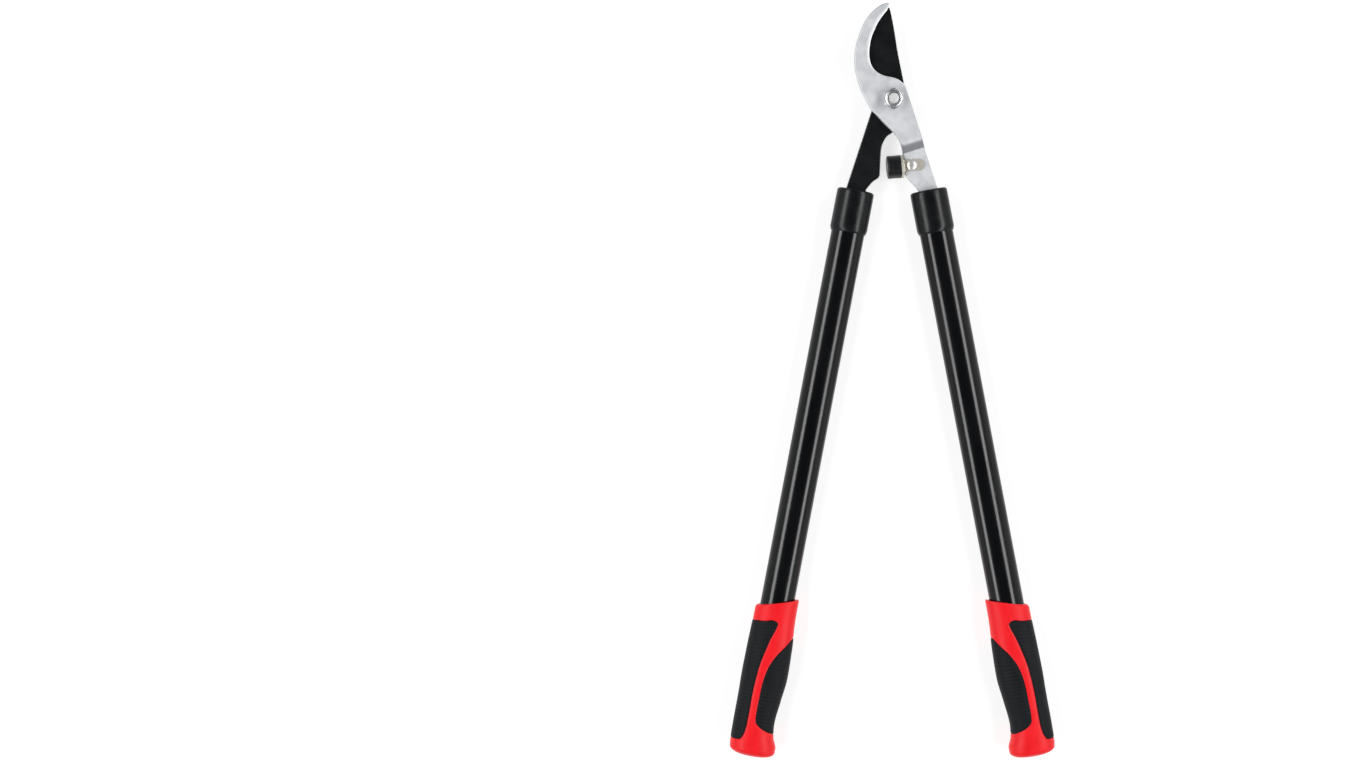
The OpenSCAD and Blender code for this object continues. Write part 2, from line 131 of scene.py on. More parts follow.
def closed(grid, wrap_rows=False):
    """A closed skin from a grid whose columns wrap. Ends that stay open get a fan to their middle."""
    rows, cols = grid.shape[:2]
    points = grid.reshape(-1, 3)
    blocks = [lattice(rows, cols, wrap_rows)]
    if not wrap_rows:
        ring = np.arange(cols)
        for first, turn in ((0, -1), ((rows - 1) * cols, 1)):
            points = np.vstack([points, points[first : first + cols].mean(0)])
            hub = np.full(cols, len(points) - 1)
            blocks.append(np.stack([first + ring, first + (ring + 1) % cols, hub], 1)[:, ::turn])
    return points, blocks


def volume(points, blocks):
    """Six times the signed volume: the sum of a . (b x c) over the triangles of the skin."""
    total = 0.0
    for block in blocks:
        for k in range(1, block.shape[1] - 1):
            a, b, c = points[block[:, 0]], points[block[:, k]], points[block[:, k + 1]]
            total += np.einsum("ij,ij->", a, np.cross(b, c))
    return total


def mesh_of(name, *shells):
    """A mesh of closed shells, each (points in mm from the pivot, blocks of faces)."""
    mesh = bpy.data.meshes.new(name)
    rows, faces, start = [], [], 0
    for points, blocks in shells:
        flip = -1 if volume(points, blocks) < 0 else 1
        faces += [face for block in blocks for face in (block[:, ::flip] + start).tolist()]
        rows.append(points * MM + pivot)
        start += len(points)
    mesh.from_pydata(np.vstack(rows).tolist(), [], faces)
    return mesh


def smoothed(mesh, crisp):
    """Shades a mesh smooth, with an edge wherever its faces meet at more than crisp degrees."""
    mesh.shade_smooth()
    mesh.set_sharp_from_angle(angle=math.radians(crisp))


def placed(name, data):
    """An object in the scene, at the origin."""
    obj = bpy.data.objects.new(name, data)
    bpy.context.scene.collection.objects.link(obj)
    return obj


def settled(obj, body, node):
    """Hides the CAD node that an object stands for, and puts the object under its body."""
    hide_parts(node)
    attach(obj, body)
    print(f"{obj.name}: {len(obj.data.vertices)} points, {len(obj.data.polygons)} faces")
    return obj


def piece(name, shell, slot, body, node, crisp=30):
    """Makes one object of a closed shell, in the finish of that slot."""
    mesh = mesh_of(name, shell)
    smoothed(mesh, crisp)
    mesh.materials.append(finishes[slot])
    return settled(placed(name, mesh), body, node)


# %% [markdown]
# ## Curves
# The outlines are drawn through a few given points, like a spline laid on a drawing board, and
# are then walked by length so that two edges of a blade can be matched station by station.


# %% Smooth runs and places along them
def through(points, steps=8):
    """A run through every point. Between b and c, with a before and d after, it is the cubic
    b + t/2 (c - a + t (2a - 5b + 4c - d + t (3 (b - c) + d - a))) for t from 0 to 1."""
    p = np.asarray(points, float)
    k = np.arange(len(p) - 1)
    a, b, c, d = (p[np.clip(k + n, 0, len(p) - 1)][:, None] for n in (-1, 0, 1, 2))
    t = (np.arange(steps) / steps)[None, :, None]
    run = b + t / 2 * (c - a + t * (2 * a - 5 * b + 4 * c - d + t * (3 * (b - c) + d - a)))
    return np.vstack([run.reshape(-1, p.shape[1]), p[-1:]])


def lengths(run):
    """The length walked at each point of a run."""
    return np.concatenate([[0], np.cumsum(np.linalg.norm(np.diff(run, axis=0), axis=1))])


def walk(run, places):
    """The points of a run at those lengths."""
    return np.stack([np.interp(places, lengths(run), run[:, k]) for k in range(run.shape[1])], -1)


def evenly(run, count):
    """That many points of a run, evenly spaced by length."""
    return walk(run, np.linspace(0, lengths(run)[-1], count))


def nearest(run, point):
    """The length at which a run passes closest to a point."""
    return lengths(run)[np.linalg.norm(run - np.asarray(point, float), axis=1).argmin()]


def eased(x, y, q):
    """A curve through (x, y) that never overshoots: a cubic between neighbours, whose slope at a
    point is the harmonic mean of the slopes on its two sides, or 0 where they differ in sign."""
    x, y, q = np.asarray(x, float), np.asarray(y, float), np.asarray(q, float)
    step = np.diff(x)[:, None]
    rise = np.diff(y, axis=0) / step
    same = rise[:-1] * rise[1:] > 0
    slope = np.empty_like(y)
    slope[0], slope[-1] = rise[0], rise[-1]
    slope[1:-1] = np.where(same, 2 * rise[:-1] * rise[1:] / np.where(same, rise[:-1] + rise[1:], 1), 0)
    k = np.clip(np.searchsorted(x, q) - 1, 0, len(x) - 2)
    t = ((q - x[k]) / (x[k + 1] - x[k]))[..., None]
    start = (1 + 2 * t) * (1 - t) ** 2 * y[k] + t * (1 - t) ** 2 * step[k] * slope[k]
    return start + t * t * (3 - 2 * t) * y[k + 1] + t * t * (t - 1) * step[k] * slope[k + 1]


# %% [markdown]
# ## A small bench for materials
# Each finish is a graph of nodes that reads the object's own coordinates, in metres. The helpers
# below only save typing: a wire is the output of a node, and adding, taking away or multiplying
# wires and numbers adds the Math node that works it out.


# %% Wires and the bench
class Wire:
    """The output of one node on a bench."""

    def __init__(self, bench, socket):
        self.bench, self.socket = bench, socket

    def __add__(self, other):
        return self.bench.sums("ADD", self, other)

    def __mul__(self, other):
        return self.bench.sums("MULTIPLY", self, other)

    def __rsub__(self, number):
        return self.bench.sums("SUBTRACT", number, self)


class Bench:
    """The nodes of one tree: a new material's, unless another is given."""

    def __init__(self, name, owner=None):
        self.owner = owner or bpy.data.materials.new(name)
        self.owner.use_nodes = True
        self.tree = self.owner.node_tree
        self.tree.nodes.clear()
        self.place = self.add("TexCoord", out="Object")

    def add(self, kind, inputs=None, out=0, **settings):
        """One node with its settings and its inputs, each a number, a colour or a wire."""
        node = self.tree.nodes.new("ShaderNode" + kind)
        for key, value in settings.items():
            setattr(node, key, value)
        for key, value in (inputs or {}).items():
            if isinstance(value, Wire):
                self.tree.links.new(value.socket, node.inputs[key])
            else:
                node.inputs[key].default_value = value
        return Wire(self, node.outputs[out]) if node.outputs else None

    def noise(self, size_mm, detail=3.0, rough=0.55, stretch=(1, 1, 1), turn=0.0, where=None):
        """A noise from 0 to 1 whose blots are about size_mm across, drawn out by stretch."""
        at = where or self.place
        if stretch != (1, 1, 1) or turn:
            scale = tuple(1 / v for v in stretch)
            at = self.add("Mapping", {"Vector": at, "Rotation": (0, 0, turn), "Scale": scale})
        inputs = {"Vector": at, "Scale": 1 / (size_mm * MM), "Detail": detail, "Roughness": rough}
        return self.add("TexNoise", inputs)

    def sums(self, operation, a, b=0.0, c=0.0):
        """One sum of numbers."""
        return self.add("Math", {0: a, 1: b, 2: c}, operation=operation)

    def vector(self, operation, a, b=(0, 0, 0)):
        """One sum of vectors; a dot product or a length comes out as a number."""
        out = 1 if operation in ("DOT_PRODUCT", "LENGTH") else 0
        return self.add("VectorMath", {0: a, 1: b}, out, operation=operation)

    def part(self, vector, axis):
        """The x, y or z of a vector, for axis 0, 1 or 2."""
        return self.add("SeparateXYZ", {0: vector}, axis)

    def between(self, value, low, high, to_low=0.0, to_high=1.0):
        """Carries low..high smoothly to to_low..to_high, and stays there outside."""
        inputs = {"Value": value, 1: low, 2: high, 3: to_low, 4: to_high}
        return self.add("MapRange", inputs, interpolation_type="SMOOTHSTEP")

    def mix(self, share, a, b):
        """Colour a where share is 0 and colour b where it is 1."""
        a, b = (v if isinstance(v, Wire) else (*v, 1) for v in (a, b))
        return self.add("Mix", {0: share, 6: a, 7: b}, 2, data_type="RGBA")

    def bump(self, height, depth_mm, strength=1.0, over=None):
        """A surface pressed in and out by height (0 to 1) times depth_mm."""
        inputs = {"Strength": strength, "Distance": depth_mm * MM, "Height": height}
        return self.add("Bump", inputs if over is None else {**inputs, "Normal": over})

    def done(self, **inputs):
        """Ends the graph in a principled shader. Underscores in the names stand for spaces."""
        shader = self.add("BsdfPrincipled", {key.replace("_", " "): value for key, value in inputs.items()})
        self.add("OutputMaterial", {"Surface": shader})
        return self.owner


def shade(colour, amount):
    """A colour made lighter or darker by a factor."""
    return tuple(min(1.0, c * amount) for c in colour)


# %% [markdown]
# ## Steel finishes
# The hooked blade is sand-blasted and left bright, so it is a rough metal with a fine grain and soft
# clouds, and only the ground chamfer of its mouth shines. Slanted faces tell where it was ground: the
# up and down part of the surface's direction is 1 on a flat face and smaller on a chamfer. Its inner
# side has a dark coat up to the crank, which a line across the blade stands for. The slope of the
# crank and the rounded arrises away from the mouth get painted shade, a darker grey.

# %% Blasted steel of the hooked blade
CREASE_TURN = math.radians(17.5)
CREASE_NORMAL = np.array([-math.sin(CREASE_TURN), math.cos(CREASE_TURN)])
blade_low, blade_high = (end(node_points("cutting_blade")[:, 2]) for end in (np.min, np.max))
hook_high = node_points("counter_blade")[:, 2].max()
HOOK_THICK = 6.0
ARM_HALF = HOOK_THICK / 2
hook_low = hook_high - HOOK_THICK
COAT_END = -38.4  # how far below the pivot the dark coat ends, square to the crease
MOUTH_MIDDLE = np.array([8.0, 52.0])


def blasted_steel():
    """Grey with clouds and grain; white where ground; painted shade on the crank's slope and the arrises away
    from the mouth; a dark coat inside, up to the crank.
    """
    b = Bench("blasted_steel")
    grain = b.noise(0.5, 3.0, 0.7)
    scratch = b.between(b.noise(0.8, 3.0, 0.7, (1, 14, 1), 0.45), 0.63, 0.70)
    cloud = b.noise(9, 4.0, 0.6)
    smear = b.noise(26, 3.0, 0.5, (1, 2.4, 1), 0.3)
    facing = b.add("VectorTransform", {0: b.add("NewGeometry", out="Normal")},
                   vector_type="NORMAL", convert_from="WORLD", convert_to="OBJECT")
    upward = b.part(facing, 2)
    local = b.vector("SUBTRACT", b.place, tuple(pivot))
    # The chamfer faces the middle of the mouth, which the rounded back of the hook does not.
    to_mouth = b.vector("SUBTRACT", (*(MOUTH_MIDDLE * MM), 0.0), local)
    mouth_side = b.between(b.vector("DOT_PRODUCT", facing, to_mouth), 0.0, 0.002)
    tilt = b.sums("ABSOLUTE", upward)
    ground = b.between(tilt, 0.97, 0.9) * (1.0 - b.between(tilt, 0.45, 0.3)) * mouth_side
    down = b.vector("DOT_PRODUCT", local, (*CREASE_NORMAL, 0))
    under = b.between(b.part(local, 2), (hook_low + 0.5) * MM, (hook_low + 0.3) * MM)
    coat = under * b.between(down, (COAT_END - 0.4) * MM, (COAT_END + 0.4) * MM)
    # Painted shade: the slope of the crank is painted a darker grey.
    in_crank = b.between(down, -37 * MM, -40 * MM) * b.between(down, -50 * MM, -49 * MM)
    crank_shade = b.between(upward, 0.985, 0.85) * in_crank * b.between(upward, 0.55, 0.7)
    # Painted shade: the rounded arrises that do not face the mouth, the hook's back among them, are painted
    # darker.
    back = b.between(upward, 0.97, 0.8) * (1.0 - mouth_side) * b.between(upward, 0.1, 0.4)
    base = b.mix(b.between(cloud, 0.3, 0.7), (0.68, 0.695, 0.715), (0.80, 0.81, 0.82))
    base = b.mix(b.between(smear, 0.35, 0.75, 0.0, 0.3), base, (0.58, 0.60, 0.625))
    base = b.mix(b.between(grain, 0.38, 0.70, 0.0, 0.34), base, (0.36, 0.37, 0.40))
    base = b.mix(scratch * 0.3, base, (0.42, 0.43, 0.45))
    # Painted shade in the next two lines: darker grey on the crank's slope and on the arrises away from the
    # mouth.
    base = b.mix(crank_shade * 0.75, base, (0.15, 0.155, 0.17))
    base = b.mix(back * 0.55, base, (0.20, 0.205, 0.22))
    base = b.mix(ground, base, (0.95, 0.955, 0.96))
    base = b.mix(coat, base, b.mix(cloud, (0.030, 0.031, 0.034), (0.052, 0.053, 0.056)))
    rough = b.between(cloud, 0.25, 0.75, 0.50, 0.60) + ground * -0.24
    # A blasted face scatters like chalk, so only part of it answers as a mirror.
    metal = 0.5 - coat * 0.35
    pits = b.bump(b.noise(1.6, 3.0, 0.6), 0.04, 0.25, b.bump(grain, 0.035, 0.5))
    return b.done(Base_Color=base, Metallic=metal, Roughness=rough, Normal=pits)


# %% [markdown]
# The cutting blade has a satin black coat, and its outer side is ground back to bare steel in a cone
# about a far point, which leaves fine lines that run round that point. So the grinding marks are a
# noise on the distance from that point, drawn out a long way round it. The coat is rubbed grey
# along the arrises, where the surface is slanted.

# %% Coat and ground cone of the cutting blade
EDGE_CENTRE = np.array([39.5, 34.5])
EDGE_R = 66.7
GRIND_W = 21.0
EDGE_THICK = 0.4
BLADE_THICK = blade_high - blade_low
HEEL_AT = np.array([-2.3, 17.4])
HEEL_TURN = math.radians(29.7)


def coated_blade():
    """Black coat on flat faces, lined bare steel on the cone, grey on the rounded arrises."""
    b = Bench("blade_coating")
    cloud = b.noise(12, 4.0, 0.62)
    tilt = b.sums("ABSOLUTE", b.part(b.add("NewGeometry", out="True Normal"), 2))
    local = b.vector("SUBTRACT", b.place, (*(pivot[:2] + EDGE_CENTRE * MM), pivot[2]))
    x, y = b.part(local, 0), b.part(local, 1)
    radius = b.vector("LENGTH", b.add("CombineXYZ", {0: x, 1: y, 2: 0.0}))
    angle = b.sums("ARCTAN2", y, x * -1.0)
    polar = b.add("CombineXYZ", {0: radius, 1: angle * 0.004, 2: 0.0})
    lines = b.noise(0.22, 3.0, 0.65, where=polar)
    cone = b.between(tilt, 0.998, 0.994) * b.between(tilt, 0.95, 0.965)
    worn = b.between(tilt, 0.94, 0.88) * b.between(tilt, 0.2, 0.4)
    scuff = b.between(b.noise(1.2, 4.0, 0.7), 0.52, 0.7)
    coat = b.mix(b.between(cloud, 0.3, 0.7), (0.0024, 0.0028, 0.0033), (0.0050, 0.0056, 0.0062))
    coat = b.mix(worn * b.sums("MULTIPLY_ADD", scuff, 0.5, 0.25), coat, (0.13, 0.135, 0.14))
    bare = b.mix(b.between(lines, 0.3, 0.7), (0.30, 0.305, 0.315), (0.44, 0.445, 0.455))
    bare = b.mix(b.between(cloud, 0.35, 0.75, 0.0, 0.4), bare, (0.24, 0.245, 0.255))
    rough = b.between(cloud, 0.2, 0.8, 0.38, 0.50) + cone * -0.04
    marks = b.bump(b.noise(0.5, 2.0, 0.6), 0.02, 0.25, b.bump(lines * cone, 0.02, 0.6))
    return b.done(Base_Color=b.mix(cone, coat, bare), Metallic=cone * 0.95, Roughness=rough, Normal=marks,
                  Specular_IOR_Level=0.2)


# %% [markdown]
# ## Plain metals
# The bolt, nut, strap, disc and rivets are plated. They share one recipe: a metal whose colour is
# clouded, with lathe rings or draw lines as a stretched noise, fine scratches in its gloss, and a
# brighter tone where an arris has been handled.


# %% One recipe for plated metal
def plated(name, colour, rough, cloud_mm, lines=(1, 1, 1), depth=0.02, stain=0.35, turn=0.0, metal=1.0,
           pale_end_above=None):
    """Clouds and draw lines darken the colour, arrises lighten it, and scratches dull its gloss."""
    b = Bench(name)
    cloud = b.noise(cloud_mm, 4.0, 0.6)
    drawn = b.noise(0.35, 2.0, 0.6, lines, turn)
    scratch = b.between(b.noise(0.9, 3.0, 0.7, (1, 7, 1), 0.8), 0.62, 0.7)
    tilt = b.sums("ABSOLUTE", b.part(b.add("NewGeometry", out="Normal"), 2))
    arris = b.between(tilt, 0.97, 0.85) * b.between(tilt, 0.25, 0.6)
    base = b.mix(b.between(cloud, 0.3, 0.7, 0.0, stain), colour, shade(colour, 0.55))
    base = b.mix(b.between(drawn, 0.3, 0.7, 0.0, 0.3), base, shade(colour, 0.8))
    base = b.mix(arris * 0.45, base, shade(colour, 1.35))
    if pale_end_above is not None:
        # Above that height, the end of the shank is paler and less metallic than the head.
        end = b.between(b.part(b.place, 2), pale_end_above, pale_end_above + 0.2 * MM)
        base = b.mix(end, base, b.mix(cloud, (0.62, 0.62, 0.61), (0.86, 0.86, 0.85)))
        metal = b.sums("MULTIPLY_ADD", end, -0.65, 1.0)
    gloss = b.between(cloud, 0.25, 0.75, rough * 0.85, rough * 1.25) + scratch * 0.12
    skin = b.bump(cloud, depth * 2, 0.3, b.bump(drawn, depth, 0.5))
    return b.done(Base_Color=base, Metallic=metal, Roughness=gloss, Normal=skin)


# %% [markdown]
# ## Enamel, mouldings and rubber
# The tubes are stove enamelled: almost black, glossy, with the slight waviness of sprayed paint and
# a few rubbed specks. The mouldings take the fine sparkle of an eroded steel mould. The soft panels are
# dull, with faint lines pressed across the grip, so their pattern runs on the piece's own unrolled
# skin (its UV map) and follows the grip round.


# %% Non-metal finishes
def enamel(name, colour, rough, level):
    """Clouded colour with specks, and a gloss that is duller where it was rubbed."""
    b = Bench(name)
    cloud = b.noise(22, 4.0, 0.6, (1, 4, 1))
    speck = b.between(b.noise(0.7, 3.0, 0.7), 0.70, 0.76)
    rub = b.between(b.noise(5, 5.0, 0.75, (1, 3, 1)), 0.60, 0.74)
    base = b.mix(b.between(cloud, 0.3, 0.7), colour, shade(colour, 1.7))
    base = b.mix(speck * 0.35, base, (0.10, 0.10, 0.105))
    gloss = b.between(cloud, 0.25, 0.75, rough * 0.85, rough * 1.2) + rub * 0.12
    skin = b.bump(speck, 0.02, 0.4, b.bump(b.noise(1.8, 2.0, 0.5), 0.012, 0.35))
    return b.done(Base_Color=base, Roughness=gloss, Normal=skin, Specular_IOR_Level=level)


def moulding(name, colour, rough, level=0.5, grain_mm=0.45, depth=0.02, cloud=1.35, dust=0.0):
    """Colour drawn out by the flow of the plastic, under a fine even grain."""
    b = Bench(name)
    eroded = b.noise(grain_mm, 2.0, 0.6)
    broad = b.noise(14, 4.0, 0.6)
    flow = b.noise(5, 3.0, 0.55, (1, 5, 1))
    base = b.mix(b.between(broad, 0.3, 0.7), colour, shade(colour, cloud))
    base = b.mix(b.between(flow, 0.35, 0.75, 0.0, 0.35), base, shade(colour, 0.86))
    base = b.mix(b.between(b.noise(2.2, 5.0, 0.75), 0.58, 0.75, 0.0, dust), base, (0.22, 0.22, 0.22))
    gloss = b.between(broad, 0.25, 0.75, rough * 0.88, rough * 1.15)
    gloss = gloss + b.between(eroded, 0.3, 0.7, -0.03, 0.05)
    skin = b.bump(flow, 0.05, 0.12, b.bump(eroded, depth, 0.45))
    return b.done(Base_Color=base, Roughness=gloss, Normal=skin, Specular_IOR_Level=level)


LINE_PITCH = 3.2  # between the faint lines across the soft panels
MAP_MM = 100  # millimetres of skin to one unit of its map


def soft_panel():
    """Black rubber with a groove wherever the sine of the length along the grip peaks."""
    b = Bench("grip_soft")
    along = b.part(b.add("UVMap", uv_map="skin"), 1) * (MAP_MM * 2 * math.pi / LINE_PITCH)
    patch = b.between(b.noise(16, 3.0, 0.5), 0.42, 0.60)
    groove = b.between(b.sums("SINE", along), 0.55, 0.98) * b.sums("MULTIPLY_ADD", patch, 0.75, 0.25)
    broad = b.noise(18, 4.0, 0.6)
    base = b.mix(b.between(broad, 0.3, 0.7), (0.0026, 0.0034, 0.0046), (0.0052, 0.0064, 0.0082))
    base = b.mix(groove * 0.5, base, (0.016, 0.018, 0.021))
    base = b.mix(b.between(b.noise(1.6, 5.0, 0.8), 0.6, 0.78, 0.0, 0.05), base, (0.25, 0.25, 0.25))
    pressed = b.bump(b.noise(0.5, 2.0, 0.65), 0.03, 0.5, b.bump(1.0 - groove, 0.12, 0.6))
    return b.done(Base_Color=base, Roughness=b.between(broad, 0.25, 0.75, 0.55, 0.68), Normal=pressed,
                  Specular_IOR_Level=0.18)


finishes = {"blasted_steel": blasted_steel(), "blade_coating": coated_blade(), "grip_soft": soft_panel()}
for recipe, name, *values in (
    (enamel, "tube_paint", (0.0020, 0.0022, 0.0026), 0.15, 0.45),
    (moulding, "collar_plastic", (0.0038, 0.0043, 0.0050), 0.24, 0.30, 0.45, 0.02, 1.5),
    (moulding, "grip_red", (0.84, 0.0070, 0.0130), 0.44, 0.28, 0.45, 0.02, 1.06),
    (moulding, "bumper_rubber", (0.0030, 0.0033, 0.0038), 0.34, 0.5, 0.7, 0.04, 1.8, 0.10),
    (plated, "bumper_steel", (0.66, 0.625, 0.54), 0.42, 4.0, (1, 14, 1), 0.02, 0.25, 1.5, 0.7),
    (plated, "rivet_steel", (0.93, 0.91, 0.88), 0.28, 2.0, (1, 1, 1), 0.008, 0.15, 0.0, 0.72),
    (plated, "bolt_nickel", (0.50, 0.485, 0.445), 0.42, 1.6, (1, 1, 1), 0.05, 0.6, 0.0, 1.0,
     pivot[2] + (hook_high + 5) * MM),
    (plated, "zinc_hardware", (0.78, 0.79, 0.805), 0.24, 2.4, (1, 6, 1), 0.015, 0.35),
    (moulding, "lock_ring_nylon", (0.012, 0.013, 0.020), 0.42, 0.5, 0.4, 0.02, 1.5),
    (moulding, "nylon", (0.66, 0.64, 0.57), 0.45, 0.5, 0.6, 0.03, 1.06),
):
    finishes[name] = recipe(name, *values)
print(len(finishes), "finishes")

# %% [markdown]
# ## Blades
# Both blades are plates cut from steel sheet. A plate is closed by carrying one section along it: at
# every station a chord runs from the left edge to the right edge, and the section goes up the left wall,
# across the top, down the right wall and back along the underside. Each of its four corners is
# eased by its own inset and drop, so one corner can be a wide ground chamfer while another is just a
# rounded arris. A chord that meets an edge at a slant is shortened by less than the inset
# asks, so the inset is divided by the sine of that slant.

# %% A plate between two edges
turn = np.radians(np.linspace(0, 90, 4))
ROUND = np.stack([1 - np.sin(turn), 1 - np.cos(turn)], 1)
FLAT = np.array([[1.0, 0.0], [0.0, 1.0]])


def stations(left, right, pairs, gap=0.75):
    """Matches two edges. Each pair names a point of the left edge and the point of the right edge that
    faces it; stations between pairs are shared out evenly, about gap mm apart. Further numbers in a
    pair are carried along with it."""
    ls = np.array([nearest(left, p[0]) for p in pairs])
    rs = np.array([nearest(right, p[1]) for p in pairs])
    reach = np.maximum(np.abs(np.diff(ls)), np.abs(np.diff(rs)))
    place = np.concatenate([[0], np.cumsum(np.maximum(reach, gap))])
    k = np.linspace(0, place[-1], int(place[-1] / gap))
    extra = [np.interp(k, place, [p[n] for p in pairs]) for n in range(2, len(pairs[0]))]
    return walk(left, np.interp(k, place, ls)), walk(right, np.interp(k, place, rs)), *extra


def plate(left, right, low, high, corners, crease=None, counts=(7, 7)):
    """The section carried along a plate. low and high give the heights at points (x, y). corners are
    four of (inset, drop, shape): left low, left high, right high, right low. crease is the share
    of the chord at which a column of points lies, the middle if not given."""
    chord = right - left
    width = np.linalg.norm(chord, axis=1)
    unit = chord / width[:, None]

    def slant(edge):
        run = np.gradient(edge, axis=0)
        run /= np.maximum(np.linalg.norm(run, axis=1), 1e-9)[:, None]
        return np.clip(np.abs(unit[:, 0] * run[:, 1] - unit[:, 1] * run[:, 0]), 0.3, 1)

    sines = [slant(left), slant(left), slant(right), slant(right)]
    shares, drops = [], []
    most = 0.42  # of the chord, for the inset of a corner
    for (inset, drop, shape), sine in zip(corners, sines):
        wanted = inset * np.ones(len(width)) / (sine * width)
        held = np.minimum(wanted, most)
        shares.append(held[:, None] * shape[:, 0])
        drops.append((drop * held / np.maximum(wanted, 1e-9))[:, None] * shape[:, 1])
    crease = np.full(len(width), 0.5) if crease is None else crease

    def columns(start, end):
        middle = np.clip(crease, start + 0.02, end - 0.02)
        first = start[:, None] + (middle - start)[:, None] * np.linspace(0, 1, counts[0])[1:]
        second = middle[:, None] + (end - middle)[:, None] * np.linspace(0, 1, counts[1])[1:-1]
        return np.hstack([first, second])

    top = columns(shares[1].max(1), 1 - shares[2].max(1))
    under = columns(shares[0].max(1), 1 - shares[3].max(1))
    # Once round the section, each stretch as (share of the chord, drop, on the upper face).
    loop = [
        (shares[0], drops[0], False), (shares[1][:, ::-1], drops[1][:, ::-1], True), (top, 0 * top, True),
        (1 - shares[2], drops[2], True), (1 - shares[3][:, ::-1], drops[3][:, ::-1], False),
        (under[:, ::-1], 0 * under, False)]
    parts = []
    for share, drop, upper in loop:
        xy = left[:, None] + share[..., None] * chord[:, None]
        z = high(xy) - drop if upper else low(xy) + drop
        parts.append(np.concatenate([xy, z[..., None]], -1))
    return np.concatenate(parts, 1)


def drill_bit(centre, radius, reach=30, sides=48):
    """A plain upright cylinder, from reach below the pivot to reach above it."""
    a = np.linspace(0, 2 * math.pi, sides, endpoint=False)
    ring = np.stack([centre[0] + radius * np.cos(a), centre[1] + radius * np.sin(a)], -1)
    return closed(np.stack([np.column_stack([ring, np.full(sides, z)]) for z in (-reach, reach)]))


def drill(obj, holes, crisp):
    """Cuts upright holes, each (centre, radius), with a Boolean modifier, and keeps the result."""
    cutter = placed("drill", mesh_of("drill", *(drill_bit(*hole) for hole in holes)))
    cut = obj.modifiers.new("holes", "BOOLEAN")
    cut.object, cut.operation, cut.solver = cutter, "DIFFERENCE", "EXACT"
    ready = obj.evaluated_get(bpy.context.evaluated_depsgraph_get())
    result = bpy.data.meshes.new_from_object(ready)
    obj.modifiers.clear()
    obj.data = result
    smoothed(result, crisp)
    bpy.data.objects.remove(cutter)
    print(f"{obj.name}: {len(holes)} holes, now {len(result.polygons)} faces")


# %% [markdown]
# ### The hooked counter blade
# Its left edge is the hook's back, then the inside of the arm. Its right edge is the mouth, the
# shoulder and the outside of the arm. The plate is flat over the head and steps down to the middle of
# the tube through a crank, so its heights are a ramp with two soft knees across the crease.

# %% Outline of the counter blade
counter, blade = handles["counter"], handles["blade"]
collar_at = span("counter_collar", counter)[0]
tube_front = span("counter_tube", counter)[0]
bumper_at, rubber_at = (
    (points.min(0) + points.max(0))[:2] / 2 for points in map(node_points, ("bumper_rivet", "bumper_rubber")))
bumper_out = (rubber_at - bumper_at) / np.linalg.norm(rubber_at - bumper_at)
bumper_up = np.array([bumper_out[1], -bumper_out[0]])
SEAT = 5.8  # from the bumper's rivet to the arm's edge, along the bumper


def by_bumper(reach, side):
    """A point of the plan: reach from the bumper's rivet towards the other arm, side towards the jaws."""
    return bumper_at + reach * bumper_out + side * bumper_up


def arm_point(handle, x, s):
    """A point of the plan from handle measures."""
    return on_handle(handle, x, s, 0.0)[:2]


TANG_HALF = 7.5
tang_end = span("counter_blade", counter)[1]


def tang(handle, side):
    """The last two points of an arm's edge, inside the tube, on the outer side (1) or the inner (-1)."""
    return [arm_point(handle, side * TANG_HALF, s) for s in (tube_front + 1, tang_end)]


hook_back = through(
    [[-3.2, 84.2], [-4.1, 84.65], [-5.4, 84.65], [-7.6, 84.15], [-10.6, 82.9], [-16.9, 78.2], [-22.6, 71.6],
     [-26.9, 63.9], [-30.2, 55.4], [-32.6, 46.5], [-33.7, 36], [-33.2, 26.5], [-31.2, 18], [-29, 10.8],
     [-25.6, 3], [-21.6, -4.4], [-18.3, -9.2], [-12.9, -15], [-7.2, -21.2], [-1, -27.2], [3, -31.4],
     [6, -36.4], [8, -42], [9.2, -47]], 6)
arm_inside = np.vstack([
    by_bumper(SEAT, 5.6), by_bumper(SEAT, -7.2),
    through([by_bumper(SEAT - 1.2, -10.2), [15.4, -70.7], [19.2, -74.6],
             arm_point(counter, -8.6, collar_at - 1), arm_point(counter, -8.3, tube_front)], 6),
    *tang(counter, -1)])
counter_left = np.vstack([hook_back, arm_inside])
mouth = through(
    [[-2.9, 83.8], [-3, 82.6], [-4.6, 79], [-8.6, 74], [-13.4, 66.8], [-17, 59], [-19.2, 52.8],
     [-20.4, 46], [-20.8, 40], [-20.4, 35.5], [-19.3, 31], [-17.8, 28.1], [-15.9, 25.7], [-13.2, 23.4],
     [-9.6, 21.5], [-5.4, 20.2], [-1.1, 19.4], [2.3, 18.5], [4.6, 17.5], [7, 15.9], [9.4, 14],
     [10.6, 12.3]], 6)
counter_right = np.vstack([
    mouth, [[10.95, 11.4]], arm_point(counter, 8.1, collar_at - 1), arm_point(counter, 8.3, tube_front),
    *tang(counter, 1)])
counter_left, counter_right = evenly(counter_left, 900), evenly(counter_right, 900)

# %% Its crank, skin and holes
# The crank starts at STEP_AT below the pivot, square to the crease, and comes down at STEP_SLOPE.
STEP_AT, STEP_SLOPE = 40.6, math.radians(35)
step_rise = hook_low + ARM_HALF
step_run = step_rise / math.tan(STEP_SLOPE)
step_shift = HOOK_THICK * math.tan(STEP_SLOPE / 2)


def knee(t, soft):
    """0 before the knee and t after it, eased over about soft: (t + sqrt(t t + soft soft)) / 2."""
    return (t + np.sqrt(t * t + soft * soft)) / 2


def cranked(level, shift, upper_bend, lower_bend=0.4):
    """Height of a face that leaves level at the step and comes down by its rise over its run."""
    def height(xy):
        q = -(xy @ CREASE_NORMAL) - STEP_AT + shift
        return level - step_rise / step_run * (knee(q, upper_bend) - knee(q - step_run, lower_bend))
    return height


